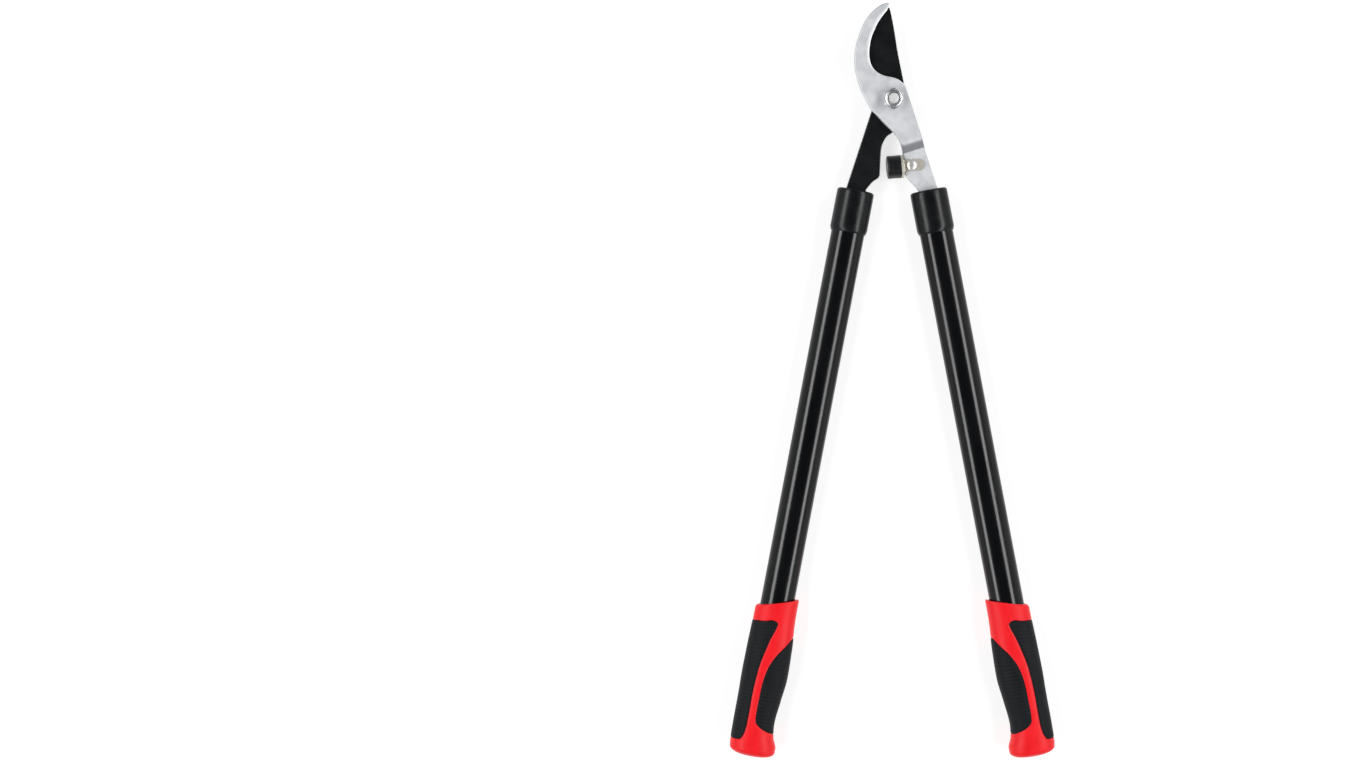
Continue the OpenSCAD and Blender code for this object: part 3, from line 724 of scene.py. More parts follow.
# Facing points of the two edges, and the width of the ground chamfer of the mouth there.
counter_pairs = [
    ([-4.1, 84.6], [-3.0, 83.2], 0.9), ([-8.5, 83.8], [-4.6, 79], 1.9), ([-16.9, 78.2], [-8.6, 74], 2.5),
    ([-26.9, 63.9], [-17, 59], 2.4), ([-32.6, 46.5], [-20.4, 46], 2.2), ([-33.7, 36], [-20.4, 35.5], 2.0),
    ([-31.6, 19.5], [-17.8, 28.1], 1.7), ([-28.4, 9.4], [-13.2, 23.4], 1.5),
    ([-24.5, 0.8], [-5.4, 20.2], 1.3),
    ([-20.2, -6.6], [2.3, 18.5], 1.1), ([-14.5, -13.2], [10.6, 12.3], 0.7), ([-7.2, -21.2], [14.5, 0.5], 0.4),
    ([-1, -27.2], [19.6, -15], 0.4), ([6.6, -38], [26.6, -32], 0.4), ([9.2, -47], [29.5, -41], 0.4),
    (by_bumper(SEAT, 5.6), [32.4, -49], 0.4), (by_bumper(SEAT, -7.2), [35.8, -61.5], 0.4),
    ([19.2, -74.6], [38.4, -71.5], 0.4),
    (arm_point(counter, -8.3, tube_front), arm_point(counter, 8.3, tube_front), 0.4),
    *((inner, outer, 0.4) for inner, outer in zip(tang(counter, -1), tang(counter, 1)))]
left, right, mouth_w = stations(counter_left, counter_right, counter_pairs)
easing = [(0.5, 0.5, ROUND), (1.4, 0.9, ROUND), (mouth_w, 0.12 + mouth_w * 0.34, FLAT), (0.35, 0.35, ROUND)]
skin = plate(left, right, cranked(hook_low, step_shift, 0.5), cranked(hook_high, 0.0, 2.4), easing)
hook_blade = piece("hook_blade", closed(skin), "blasted_steel", "counter_half", "counter_blade", 24)
BOLT_R, RIVET_R, CLEAR = 5.0, 2.5, 0.05
bolt_hole = ((0, 0), BOLT_R + CLEAR)


def rivet_holes(handle):
    """The two holes through a tang, inside the tube."""
    return [(arm_point(handle, 0, tube_front + s), RIVET_R + CLEAR) for s in (10, 24)]


drill(hook_blade, [bolt_hole, (bumper_at, RIVET_R + CLEAR), *rivet_holes(counter)], 24)

# %% [markdown]
# ### The cutting blade
# Its left edge is the cutting edge, a true arc, then the heel and the straight outside of the arm.
# Its right edge is the spine, the round boss and the arch of the arm. The underside is ground on a
# cone, so its height grows in proportion to the distance from the arc's centre beyond the crease.
# The grinding stops at the heel on a straight line, so two stations lie on that line, one ground
# and one not, with a small wall between them.

# %% Outline of the cutting blade
arc_angle = np.radians(np.linspace(134, 202, 120))
cutting_arc = EDGE_CENTRE + EDGE_R * np.stack([np.cos(arc_angle), np.sin(arc_angle)], 1)
heel_from = math.radians(203.2)
heel = through([EDGE_CENTRE + EDGE_R * np.array([math.cos(heel_from), math.sin(heel_from)]), [-20, 3.8],
                [-18.4, -0.5], [-17.6, -4.5], [-17.9, -8.5]], 6)
knife_left = np.vstack([
    [[-5.0, 83.1], [-5.9, 82.95]], cutting_arc, heel,
    arm_point(blade, 8.9, collar_at + 0.5), arm_point(blade, 8.7, tube_front), *tang(blade, 1)])
knife_right = np.vstack([
    through([[-4.6, 83.05], [-4, 82.9], [-2.8, 81.4], [-1.3, 77.5], [1.7, 62], [4.8, 42.5], [9.6, 18.5],
             [11.3, 12], [13.4, 4], [14.4, -2], [14.2, -7], [12.6, -12], [10.1, -16.4], [4.9, -22.3],
             [-0.3, -28.7], [-3.2, -30.6], [-6.2, -34], [-8.6, -38.8], [-9.7, -44], [-10.2, -50]], 8),
    through([[-10.9, -64.6], [-11.2, -66.6], [-12.6, -68.6], [-16.5, -71.2], [-20.2, -75.2],
             arm_point(blade, -8.5, collar_at - 1), arm_point(blade, -8.3, tube_front)], 6),
    *tang(blade, -1)])
knife_left, knife_right = evenly(knife_left, 1100), evenly(knife_right, 1100)

# %% Its stations, which meet the line where the grinding ends
heel_way = np.array([math.cos(HEEL_TURN), math.sin(HEEL_TURN)])


def meets(run, point, way):
    """The point nearest to point at which a run crosses the line through it: where the cross product
    with the line's direction changes sign."""
    off = (run - point)[:, 0] * way[1] - (run - point)[:, 1] * way[0]
    k = np.flatnonzero(off[:-1] * off[1:] <= 0)
    t = (off[k] / (off[k] - off[k + 1]))[:, None]
    places = run[k] + t * (run[k + 1] - run[k])
    return places[np.linalg.norm(places - point, axis=1).argmin()]


heel_left, heel_right = meets(knife_left, HEEL_AT, heel_way), meets(knife_right, HEEL_AT, heel_way)
print("the grinding ends from", heel_left.round(2), "to", heel_right.round(2))
ground_pairs = [
    ([-5.2, 83.1], [-4.4, 83.0]), ([-6.8, 82.5], [-2.8, 81.4]), ([-12, 76.5], [-0.6, 74]),
    ([-18.5, 67], [1.7, 62]), ([-24.5, 52], [4.8, 42.5]), ([-26.9, 30], [6.6, 33]), (heel_left, heel_right)]
plain_pairs = [
    (heel_left, heel_right), ([-18.4, -0.5], [11.8, 10]), ([-17.9, -8.5], [14.4, -2]),
    ([-20.4, -16], [12.6, -12]), ([-22.6, -23.5], [4.9, -22.3]), ([-25.3, -31], [-3.2, -30.6]),
    ([-29, -42], [-8.6, -38.8]), ([-32, -52], [-10.2, -50]), ([-36, -65.5], [-11.0, -65.4]),
    ([-38.5, -72.5], [-16.5, -71.2]),
    (arm_point(blade, 8.7, tube_front), arm_point(blade, -8.3, tube_front)),
    *zip(tang(blade, 1), tang(blade, -1))]
ground_left, ground_right = stations(knife_left, knife_right, ground_pairs, 0.7)
plain_left, plain_right = stations(knife_left, knife_right, plain_pairs)
ground_left[-1], ground_right[-1] = heel_left, heel_right
plain_left[0], plain_right[0] = heel_left, heel_right
left, right = np.vstack([ground_left, plain_left]), np.vstack([ground_right, plain_right])
is_ground = np.arange(len(left)) < len(ground_left)

# %% Its ground cone and skin
KEEP_R = EDGE_R - GRIND_W


def crossing(a, b, centre, radius):
    """Share of the way from a to b at which the chord enters the circle: the smaller root of
    |a + t (b - a) - centre| = radius."""
    d, f = b - a, a - centre
    aa, bb, cc = (d * d).sum(1), 2 * (d * f).sum(1), (f * f).sum(1) - radius**2
    root = np.sqrt(np.maximum(bb * bb - 4 * aa * cc, 0))
    return np.where(bb * bb > 4 * aa * cc, (-bb - root) / (2 * aa), 1.0)


def underside(xy):
    """The flat underside, raised on the cone: thickness to grind away times the share of its width."""
    beyond = np.clip((np.linalg.norm(xy - EDGE_CENTRE, axis=-1) - KEEP_R) / GRIND_W, 0, 1.06)
    return blade_low + (BLADE_THICK - EDGE_THICK) * beyond * is_ground[:, None]


crease = np.where(is_ground, crossing(left, right, EDGE_CENTRE, KEEP_R), 0.5)
keen, spine = np.where(is_ground, 0.08, 0.4), np.where(is_ground, 0.3, 0.4)
easing = [(keen, keen, ROUND), (keen, keen, ROUND), (spine, 0.3, ROUND), (spine, 0.3, ROUND)]
skin = plate(left, right, underside, lambda xy: np.full(xy.shape[:-1], blade_high), easing, crease, (14, 8))
knife_blade = piece("knife_blade", closed(skin), "blade_coating", "blade_half", "cutting_blade", 9)
drill(knife_blade, [bolt_hole, *rivet_holes(blade)], 9)

# %% [markdown]
# ## Tubes and collars
# The tube's section is an oval of two wide arcs and two small end arcs. It is drawn by the
# direction in which its surface faces, which puts the points where it bends most and makes it easy to
# grow: a collar's section is the same oval, pushed out along that direction. The tube and the collar
# are each a profile carried once round the oval, out and back, so they come out as closed walls.

# %% The oval section and the slot
TUBE_W, TUBE_H, TUBE_WALL = 29.4, 20.0, 1.5
AROUND = np.radians(np.arange(0, 360, 2.5))


def oval(grow=0.0, width=TUBE_W, height=TUBE_H, a=AROUND):
    """Points (x, z) whose surface faces angle a: centre of the arc that faces that way, plus its
    radius times (cos a, sin a), plus grow in the same direction."""
    end_r = height * 0.36
    reach = width / 2 - end_r
    drop = (reach**2 - (height / 2 - end_r) ** 2) / (height - 2 * end_r)
    wide_r = height / 2 + drop
    on_end = np.abs(np.cos(a)) > reach / (wide_r - end_r)
    r = np.where(on_end, end_r, wide_r) + grow
    x = np.where(on_end, np.sign(np.cos(a)) * reach, 0) + r * np.cos(a)
    z = np.where(on_end, 0, -np.sign(np.sin(a)) * drop) + r * np.sin(a)
    return np.stack([x, z], -1)


def carried(handle, rings):
    """Places rings of (x, z), each with its s along the handle, and gives the grid."""
    return np.stack([on_handle(handle, ring[:, 0], s, ring[:, 1]) for s, ring in rings])


def slot_ring(half_w, half_h, a=AROUND, square=9.0):
    """A rectangle with tight corners, as the curve |x / w|^n + |z / h|^n = 1 with a high n."""
    c, s = np.cos(a), np.sin(a)
    far = (np.abs(c / half_w) ** square + np.abs(s / half_h) ** square) ** (-1 / square)
    return np.stack([far * c, far * s], -1)


# %% Tubes and collars of both handles
SLOT_HALF = 9.7
COLLAR_WALL, NOSE_ROUND = 1.72, 2.2
# Share of the collar's length, and how much its wall is thicker there.
BARREL = ((0.12, -0.04), (0.3, 0.0), (0.5, 0.0), (0.7, 0.02), (0.86, 0.04), (0.9, 0.0), (0.93, -0.22),
          (0.96, -0.62), (0.985, -1.02), (0.997, -1.3))
for side, body in HALVES.items():
    handle = handles[side]
    start, end = span(side + "_collar", handle)
    front, back = span(side + "_tube", handle)
    outside = [(s, oval()) for s in np.linspace(front + 0.4, back, 60)]
    tube_rings = [(front, oval(-0.4)), (front + 0.12, oval(-0.12))] + outside
    tube_rings += [(back, oval(-TUBE_WALL)), (front, oval(-TUBE_WALL))]
    tube = closed(carried(handle, tube_rings), True)
    piece(side + "_handle_tube", tube, "tube_paint", body, side + "_tube", 40)

    # The collar from inside: bore, slot for the arm, rounded nose, barrel, and a tapered back end.
    arm_half = (ARM_HALF if side == "counter" else BLADE_THICK / 2) + CLEAR
    slot, flare = slot_ring(SLOT_HALF, arm_half), slot_ring(SLOT_HALF + 0.4, arm_half + 0.35)
    rings = [(front, oval(CLEAR)), (front, slot), (start + 0.5, slot), (start + 0.12, flare),
             (start, 0.5 * flare + 0.5 * oval(COLLAR_WALL - NOSE_ROUND - 0.4))]
    for t in np.radians(np.linspace(90, 0, 7)):
        wall = COLLAR_WALL - NOSE_ROUND * (1 - math.cos(t)) - 0.1
        rings.append((start + NOSE_ROUND * (1 - math.sin(t)), oval(wall)))
    rings += [(start + share * (end - start), oval(COLLAR_WALL + more)) for share, more in BARREL]
    rings += [(end, oval(0.24)), (end, oval(CLEAR))]
    collar = closed(carried(handle, rings), True)
    piece(side + "_handle_collar", collar, "collar_plastic", body, side + "_collar", 38)

# %% [markdown]
# ## Grips
# A grip is a hard red moulding with two soft black panels let into it. Its skin is a run of rounded
# rings whose half widths, half height and lean change along it. The panels' outlines are drawn in
# plan and carried onto that skin. To get a clean seam, every grid point that lies near an outline is
# moved onto it, on the unrolled skin; each square of the grid is then cut along the diagonal that
# does not cross the seam. Points sink a little as they come near the seam, which leaves the fine
# groove, and the red goes down under the panels, as the real moulding does.

# %% The grip's form and its seams
GRIP_LENGTH = 137.0
GRIP_WALL = 3.0
# Share of the length, then the wall on the inner side, the outer side and above, and the ring's lean.
GRIP_FORM = np.array([
    [0.000, 0.6, 0.0, 0.0, 0.30], [0.012, 1.0, 1.0, 0.6, 0.30], [0.100, 1.1, 1.1, 0.8, 0.22],
    [0.300, 3.0, 1.6, 1.6, 0.08], [0.460, 3.7, 1.8, 2.0, 0.00], [0.620, 1.6, 1.3, 1.6, 0.00],
    [0.770, -0.2, 1.2, 1.2, 0.00], [0.860, 1.6, 1.0, 1.8, 0.00], [0.925, 5.0, 0.7, 2.2, 0.00],
    [0.975, 5.0, -0.7, 1.2, 0.00], [1.000, 0.5, -5.5, -3.0, 0.00]])
SQUARE_UP = 0.86
PANEL_EDGES = {
    "outer": (0.0, [[30, 0.145], [9.5, 0.125], [1.7, 0.110], [-3.4, 0.125], [-2.8, 0.162], [0.5, 0.235],
                    [3.3, 0.320], [5.7, 0.407], [6.8, 0.500], [7.3, 0.590], [7.1, 0.740], [7.4, 0.822],
                    [9.2, 0.874], [13, 0.898], [30, 0.902]]),
    "inner": (math.pi, [[-30, 0.098], [-20, 0.198], [-14.7, 0.257], [-8.1, 0.322], [-3.5, 0.385],
                        [-0.9, 0.447], [0.4, 0.514], [0.8, 0.600], [0.5, 0.752], [-3.3, 0.793],
                        [-9.5, 0.815], [-18.7, 0.834], [-30, 0.850]])}
ROLL = 18.0  # millimetres of unrolled skin to one radian round the grip
SEAM_STEP = 1.6


def grip_sizes(share):
    """Half width inwards and outwards, half height, and lean of the ring at that share of the length."""
    inner, outer, above, lean = np.moveaxis(eased(GRIP_FORM[:, 0], GRIP_FORM[:, 1:], share), -1, 0)
    side_wall = TUBE_W / 2 + GRIP_WALL
    return side_wall + inner, side_wall + outer, TUBE_H / 2 + GRIP_WALL + above, lean


def grip_skin(a, share, sink):
    """Points of the skin (x, s from the rim's middle, z), sink below it: half sizes times the
    cosine and the sine, each raised to a power under 1 to square the ring up."""
    inner, outer, half_h, lean = grip_sizes(share)
    c, s = np.cos(a), np.sin(a)
    x = (np.where(c > 0, outer, inner) - sink) * np.sign(c) * np.abs(c) ** SQUARE_UP
    z = (half_h - sink) * np.sign(s) * np.abs(s) ** SQUARE_UP
    return np.stack([x, share * GRIP_LENGTH + lean * x, z], -1)


# %% A seam on the unrolled skin, and the distance from it
def seam(middle, edge):
    """A panel's outline as a closed loop on the unrolled skin, measured from the panel's middle."""
    x, place = through(edge, 9).T
    share = place.copy()
    for _ in range(6):
        share = place - grip_sizes(share)[3] * x / GRIP_LENGTH
    inner, outer, _, _ = grip_sizes(share)
    half = np.where(x > 0, outer, inner)
    on = np.abs(x) < half * 0.995
    a = np.arccos(np.clip(np.sign(x) * np.abs(x / half) ** (1 / SQUARE_UP), -1, 1))[on] - middle
    top = np.stack([a * ROLL, share[on] * GRIP_LENGTH], 1)
    loop = np.vstack([top, (top * [-1, 1])[::-1]])
    closed_loop = np.vstack([loop, loop[:1]])
    total = lengths(closed_loop)[-1]
    return walk(closed_loop, np.linspace(0, total, int(total / SEAM_STEP), endpoint=False))


def seam_distance(points, loop):
    """Distance of each point from the loop, above 0 inside it, and the nearest point on the loop."""
    a, b = loop, np.roll(loop, -1, 0)
    side = b - a
    offset = points[:, None] - a
    t = np.clip((offset * side).sum(-1) / (side * side).sum(-1), 0, 1)
    near = a + t[..., None] * side
    away = np.linalg.norm(points[:, None] - near, axis=-1)
    best = away.argmin(1)
    every = np.arange(len(points))
    px, py = points[:, :1], points[:, 1:]
    spans = (a[:, 1] > py) != (b[:, 1] > py)
    cut = a[:, 0] + (py - a[:, 1]) * side[:, 0] / np.where(np.abs(side[:, 1]) < 1e-9, 1e-9, side[:, 1])
    inside = ((px < cut) & spans).sum(1) % 2 == 1
    return away[every, best] * np.where(inside, 1, -1), near[every, best]


# %% The unrolled grid, moved onto the seams and cut into triangles
ROWS, COLS = 158, 132
CAP_FROM = 0.95
SEAM_REACH = 0.52  # of a cell: points nearer than that to a seam move onto it
grid_q = np.tile(np.linspace(0, 2 * math.pi, COLS, endpoint=False) * ROLL, ROWS)
grid_s = np.repeat(np.linspace(0, CAP_FROM * GRIP_LENGTH, ROWS), COLS)
round_trip = 2 * math.pi * ROLL
cell = max(CAP_FROM * GRIP_LENGTH / (ROWS - 1), round_trip / COLS)
quads = lattice(ROWS, COLS)
loops = {name: seam(middle, edge) for name, (middle, edge) in PANEL_EDGES.items()}
gaps, nears = {}, {}
for name, (middle, _) in PANEL_EDGES.items():
    q = (grid_q - middle * ROLL + round_trip / 2) % round_trip - round_trip / 2
    gaps[name], near = seam_distance(np.stack([q, grid_s], 1), loops[name])
    nears[name] = near + [middle * ROLL, 0]
closer = np.abs(gaps["inner"]) < np.abs(gaps["outer"])
grid_gap = np.where(closer, gaps["inner"], gaps["outer"])
near = np.where(closer[:, None], nears["inner"], nears["outer"])
on_seam = np.abs(grid_gap) < SEAM_REACH * cell


def cut_quads(gap):
    """Two triangles for each square, split along the diagonal that does not cross the seam."""
    sign = np.sign(gap)[quads]
    swap = (sign[:, 0] * sign[:, 2] < 0)[:, None]
    first = np.where(swap, quads[:, [1, 2, 3]], quads[:, [0, 1, 2]])
    second = np.where(swap, quads[:, [3, 0, 1]], quads[:, [2, 3, 0]])
    return np.vstack([first, second])


# A triangle with all three corners on the outline would belong to neither side, so its farthest
# corner goes back to its own place.
for _ in range(4):
    seam_gap = np.where(on_seam, 0, grid_gap)
    triangles = cut_quads(seam_gap)
    flat = triangles[(seam_gap[triangles] == 0).all(1)]
    if len(flat) == 0:
        break
    farthest = flat[np.arange(len(flat)), np.abs(grid_gap[flat]).argmax(1)]
    on_seam[farthest] = False
sides = np.sign(seam_gap)[triangles]
print("points moved onto the seams:", int(on_seam.sum()), "triangles left on them:", len(flat),
      "and across them:", int(((sides.min(1) < 0) & (sides.max(1) > 0)).sum()))
roll_q = np.where(on_seam, near[:, 0], grid_q)
roll_s = np.where(on_seam, near[:, 1], grid_s)
inside_of = {name: np.where(on_seam, 0, gap) for name, gap in gaps.items()}
angle = roll_q / ROLL
share = roll_s / GRIP_LENGTH
RED_SINK, PANEL_SINK, SEAM_SINK, POCKET_SINK = 0.32, 0.10, 0.60, 1.5
SEAM_FADE, PANEL_THICK = 0.7, 0.8
fade = np.exp(-(np.abs(seam_gap) / SEAM_FADE) ** 2)
red_sink = np.where(seam_gap > 0, POCKET_SINK, RED_SINK + (SEAM_SINK - RED_SINK) * fade)
panel_sink = PANEL_SINK + (SEAM_SINK - PANEL_SINK) * fade
skin_map = np.stack([roll_q, roll_s], 1) / MAP_MM
middle_of = seam_gap[triangles].sum(1)


# %% A weld for the finished meshes
def welded(obj, crisp):
    """Joins points that lie together and drops the faces that this leaves without area."""
    work = bmesh.new()
    work.from_mesh(obj.data)
    bmesh.ops.remove_doubles(work, verts=work.verts, dist=1e-6)
    bmesh.ops.dissolve_degenerate(work, edges=work.edges, dist=1e-7)
    work.to_mesh(obj.data)
    work.free()
    smoothed(obj.data, crisp)


# %% Red bodies and soft panels of both grips
# The rounded end's two powers, how much it stops short of the CAD one, and its tip's place inwards.
CAP_SHRINK, CAP_REACH, CAP_SHORT, CAP_INWARDS = 0.8, 0.9, 0.2, 1.6
for side, body in HALVES.items():
    handle = handles[side]
    grip_back = span(side + "_grip_body", handle)[1]
    rim = grip_back - GRIP_LENGTH
    tube_stop = span(side + "_tube", handle)[1]
    local = grip_skin(angle, share, red_sink)
    outer_skin = on_handle(handle, local[:, 0], rim + local[:, 1], local[:, 2]).reshape(ROWS, COLS, 3)
    # The rounded end: rings shrink by the cosine as they go back by the sine of a quarter turn,
    # both raised to powers a little under 1 for a blunter end.
    around = np.linspace(0, 2 * math.pi, COLS, endpoint=False)
    last = grip_skin(around, np.full(COLS, CAP_FROM), RED_SINK)
    quarter = np.radians(np.linspace(0, 90, 16))[1:-1]
    cap = []
    for t in quarter:
        small, far = math.cos(t) ** CAP_SHRINK, math.sin(t) ** CAP_REACH
        s = last[:, 1] + (GRIP_LENGTH - CAP_SHORT - last[:, 1]) * far
        x = last[:, 0] * small - CAP_INWARDS * (1 - small)
        cap.append(on_handle(handle, x, rim + s, last[:, 2] * small))
    # The bore and the rim: from the bottom of the bore forward, then out over the rim.
    bore = oval(CLEAR, a=around)
    first = grip_skin(around, np.zeros(COLS), RED_SINK)
    lean = GRIP_FORM[0, 4]
    inner = [on_handle(handle, bore[:, 0], tube_stop + CLEAR, bore[:, 1]),
             on_handle(handle, bore[:, 0], rim + 0.5 + lean * bore[:, 0], bore[:, 1])]
    for mix, push in ((0.12, 0.0), (0.6, -0.14), (0.9, -0.08)):
        x, z = ((1 - mix) * bore + mix * first[:, [0, 2]]).T
        inner.append(on_handle(handle, x, rim + lean * x + push, z))
    # The whole skin is one grid, but where the seams run its squares give way to the cut triangles.
    points, blocks = closed(np.concatenate([np.stack(inner), outer_skin, np.stack(cap)]))
    skip = len(inner)
    row = np.arange(len(blocks[0])) // COLS
    in_skin = (row >= skip) & (row < skip + ROWS - 1)
    blocks = [blocks[0][~in_skin], triangles + skip * COLS] + blocks[1:]
    welded(piece(side + "_grip_red", (points, blocks), "grip_red", body, side + "_grip_body"), 40)

    local = grip_skin(angle, share, panel_sink)
    skin = on_handle(handle, local[:, 0], rim + local[:, 1], local[:, 2])
    for name in PANEL_EDGES:
        mine = triangles[(middle_of > 0) & (inside_of[name][triangles].sum(1) > 0)]
        used, index = np.unique(mine, return_inverse=True)
        faces = index.reshape(-1, 3)
        facing = np.cross(skin[mine[:, 1]] - skin[mine[:, 0]], skin[mine[:, 2]] - skin[mine[:, 0]])
        centre = handle["foot"] + handle["along"] * ((skin[used].mean(0) - handle["foot"]) @ handle["along"])
        if (facing * (skin[mine[:, 0]] - centre)).sum() < 0:
            faces = faces[:, ::-1]
        panel = bpy.data.meshes.new(f"{side}_grip_soft_{name}")
        panel.from_pydata((skin[used] * MM + pivot).tolist(), [], faces.tolist())
        layer = panel.uv_layers.new(name="skin")
        layer.data.foreach_set("uv", skin_map[used][faces.ravel()].astype(np.float32).ravel())
        panel.materials.append(finishes["grip_soft"])
        obj = placed(panel.name, panel)
        welded(obj, 35)
        wall = obj.modifiers.new("wall", "SOLIDIFY")
        wall.thickness, wall.offset = PANEL_THICK * MM, -1
        settled(obj, body, f"{side}_grip_{name}_panel")

# %% [markdown]
# ## Pivot bolt and lock nut
# The bolt head, the nut and the bumper's turned parts are all profiles turned about an axis. A hexagon
# fits the same grid: its radius at each angle is the half width across flats over the cosine of the
# angle from the nearest flat. Where its corners are turned off by a 30 degree cone, the height falls
# by the radius beyond the flat circle times the tangent of 30 degrees.

# %% Turned and hexagonal grids
SPIN = np.radians(np.arange(0, 360, 3.75))
UPWARDS, DOWNWARDS = np.eye(3), np.diag([1, 1, -1])


def turned(profile, axes=UPWARDS, at=(0, 0, 0)):
    """A grid from rows of (radius, height), where either may differ with the angle: radius times
    (cosine, sine) on the first two axes, and the height on the third."""
    rows = []
    for row in profile:
        radius, height = (np.broadcast_to(value, SPIN.shape) for value in row)
        across = (radius * np.cos(SPIN))[:, None] * axes[0]
        rows.append(height[:, None] * axes[2] + across + (radius * np.sin(SPIN))[:, None] * axes[1])
    return np.stack(rows) + np.asarray(at)


def hex_rows(corner_at, height, flat_r):
    """Foot, wall and turned-off top of a hexagon with a corner at that angle, in degrees."""
    off = (SPIN - math.radians(corner_at)) % math.radians(60) - math.radians(30)
    r = HEX_FLATS / 2 / np.cos(off)
    fall = np.maximum(r - flat_r, 0) * math.tan(math.radians(30))
    wall = [(r - 0.25, 0.0), (r, 0.25), (r, height - fall - 0.12), (r - 0.14, height - fall)]
    return wall + [(flat_r + 0.1, height - 0.05), (flat_r - 0.25, height)]


# %% The bolt
HEX_FLATS, HEAD_H, NUT_H = 17.0, 6.4, 10.0
HEAD_CORNER, NUT_CORNER = -7.5, 90
NOSE_R, THREAD_R = 4.1, 4.9
# The forged head: a shallow dish in the middle of the turned face, and the shank on the other side.
dish = [(7.2, HEAD_H), (6.7, HEAD_H - 0.28), (4.0, HEAD_H - 0.34), (1.2, HEAD_H - 0.36)]
head = hex_rows(HEAD_CORNER, HEAD_H, 0.47 * HEX_FLATS) + dish
nut_top = hook_high + NUT_H
thread_from = -(hook_high - blade_low)
nose_from = -(nut_top - 1.15 - blade_low)
tip = -(nut_top + 2.4 - blade_low)
shank = [(1.0, tip), (NOSE_R - 0.7, tip + 0.02), (NOSE_R - 0.2, tip + 0.15), (NOSE_R, tip + 0.55),
         (NOSE_R, nose_from), (THREAD_R - 0.3, nose_from), (THREAD_R, nose_from + 0.3),
         (THREAD_R, thread_from - 0.1), (BOLT_R, thread_from), (BOLT_R, -0.25), (BOLT_R + 0.25, 0.0),
         (BOLT_R + 1.2, 0.0)]
bolt = closed(turned(shank + head, DOWNWARDS, (0, 0, blade_low)))
piece("pivot_screw", bolt, "bolt_nickel", "counter_half", "pivot_bolt", 22)

# %% The nut and its ring
# The nut's hexagon ends in a collar that is rolled inwards over the ring.
hex_h = NUT_H * 0.72
collar_r, lip_r, lip_h = HEX_FLATS / 2 * 0.88, 5.35, 0.9
ring_top = NUT_H - 1.3
lip_half = (collar_r - lip_r) / 2
roll_from = NUT_H - lip_h
crown = [(collar_r + 0.35, hex_h), (collar_r, hex_h + 0.35), (collar_r, roll_from)]
crown += [(collar_r - lip_half + lip_half * math.cos(t), roll_from + lip_h * math.sin(t))
          for t in np.radians(np.linspace(0, 180, 9))[1:]]
nut = hex_rows(NUT_CORNER, hex_h, 0.475 * HEX_FLATS) + crown
nut += [(lip_r, ring_top), (THREAD_R + 0.05, ring_top), (THREAD_R + 0.05, 0.0)]
ring = [(THREAD_R + 0.06, ring_top + 0.02), (THREAD_R + 0.06, ring_top + 0.32),
        (lip_r - 0.05, ring_top + 0.28), (lip_r - 0.03, ring_top + 0.02)]
for name, profile, slot, node, crisp in (
    ("lock_nut", nut, "zinc_hardware", "pivot_nut", 22),
    ("nut_insert_ring", ring, "lock_ring_nylon", "nut_lock_ring", 30),
):
    piece(name, closed(turned(profile, at=(0, 0, hook_high)), True), slot, "counter_half", node, crisp)

# %% [markdown]
# ## The bumper
# A rubber puck is riveted, with a steel disc behind it, to a strap that is folded round the arm. The
# strap is a flat section carried along a path that turns two corners, and its two ends are half
# round, so its width is that of a circle there. The big rivet has a domed head above and a rolled,
# hollow end below.

# %% Puck and disc
BUMPER_R, BUMPER_LEN, DISC_T, STRAP_T, STRAP_W = 10.2, 12.2, 2.2, 1.2, 10.2
disc_at = SEAT + STRAP_T
puck_at = disc_at + DISC_T
edge = np.radians(np.linspace(0, 90, 7))
foot_r, face_r = 0.7, 1.5  # how far the puck's two rims are rounded
puck = [(0.4, 4.05), (2.45, 4.05), (2.55, 3.95), (2.55, 0.0), (BUMPER_R - foot_r, 0.0)]
puck += [(BUMPER_R - foot_r + foot_r * math.sin(t), foot_r - foot_r * math.cos(t)) for t in edge[1:]]
puck += [(BUMPER_R - 0.12, 3.2), (BUMPER_R - 0.16, BUMPER_LEN / 2), (BUMPER_R - 0.12, BUMPER_LEN - 3.2)]
puck += [(BUMPER_R - face_r + face_r * math.cos(t), BUMPER_LEN - face_r + face_r * math.sin(t)) for t in edge]
puck += [(BUMPER_R - 2.6, BUMPER_LEN - 0.02), (BUMPER_R - 3.2, BUMPER_LEN - 0.25), (4.0, BUMPER_LEN - 0.35),
         (1.0, BUMPER_LEN - 0.36)]
disc = [(1.55, 0.0), (BUMPER_R - 0.35, 0.0), (BUMPER_R - 0.1, 0.1), (BUMPER_R, 0.35),
        (BUMPER_R, DISC_T - 0.35), (BUMPER_R - 0.1, DISC_T - 0.1), (BUMPER_R - 0.35, DISC_T), (1.55, DISC_T)]
at_bumper = (*bumper_at, 0.0)
out_x, out_y = bumper_out
outwards = np.array([[-out_y, out_x, 0], [0, 0, 1], [out_x, out_y, 0]])
for name, profile, start, hollow, slot, node, crisp in (
    ("bumper_puck", puck, puck_at, False, "bumper_rubber", "bumper_rubber", 40),
    ("bumper_washer", disc, disc_at, True, "bumper_steel", "bumper_disc", 30),
):
    grid = turned([(r, h + start) for r, h in profile], outwards, at_bumper)
    piece(name, closed(grid, hollow), slot, "counter_half", node, crisp)


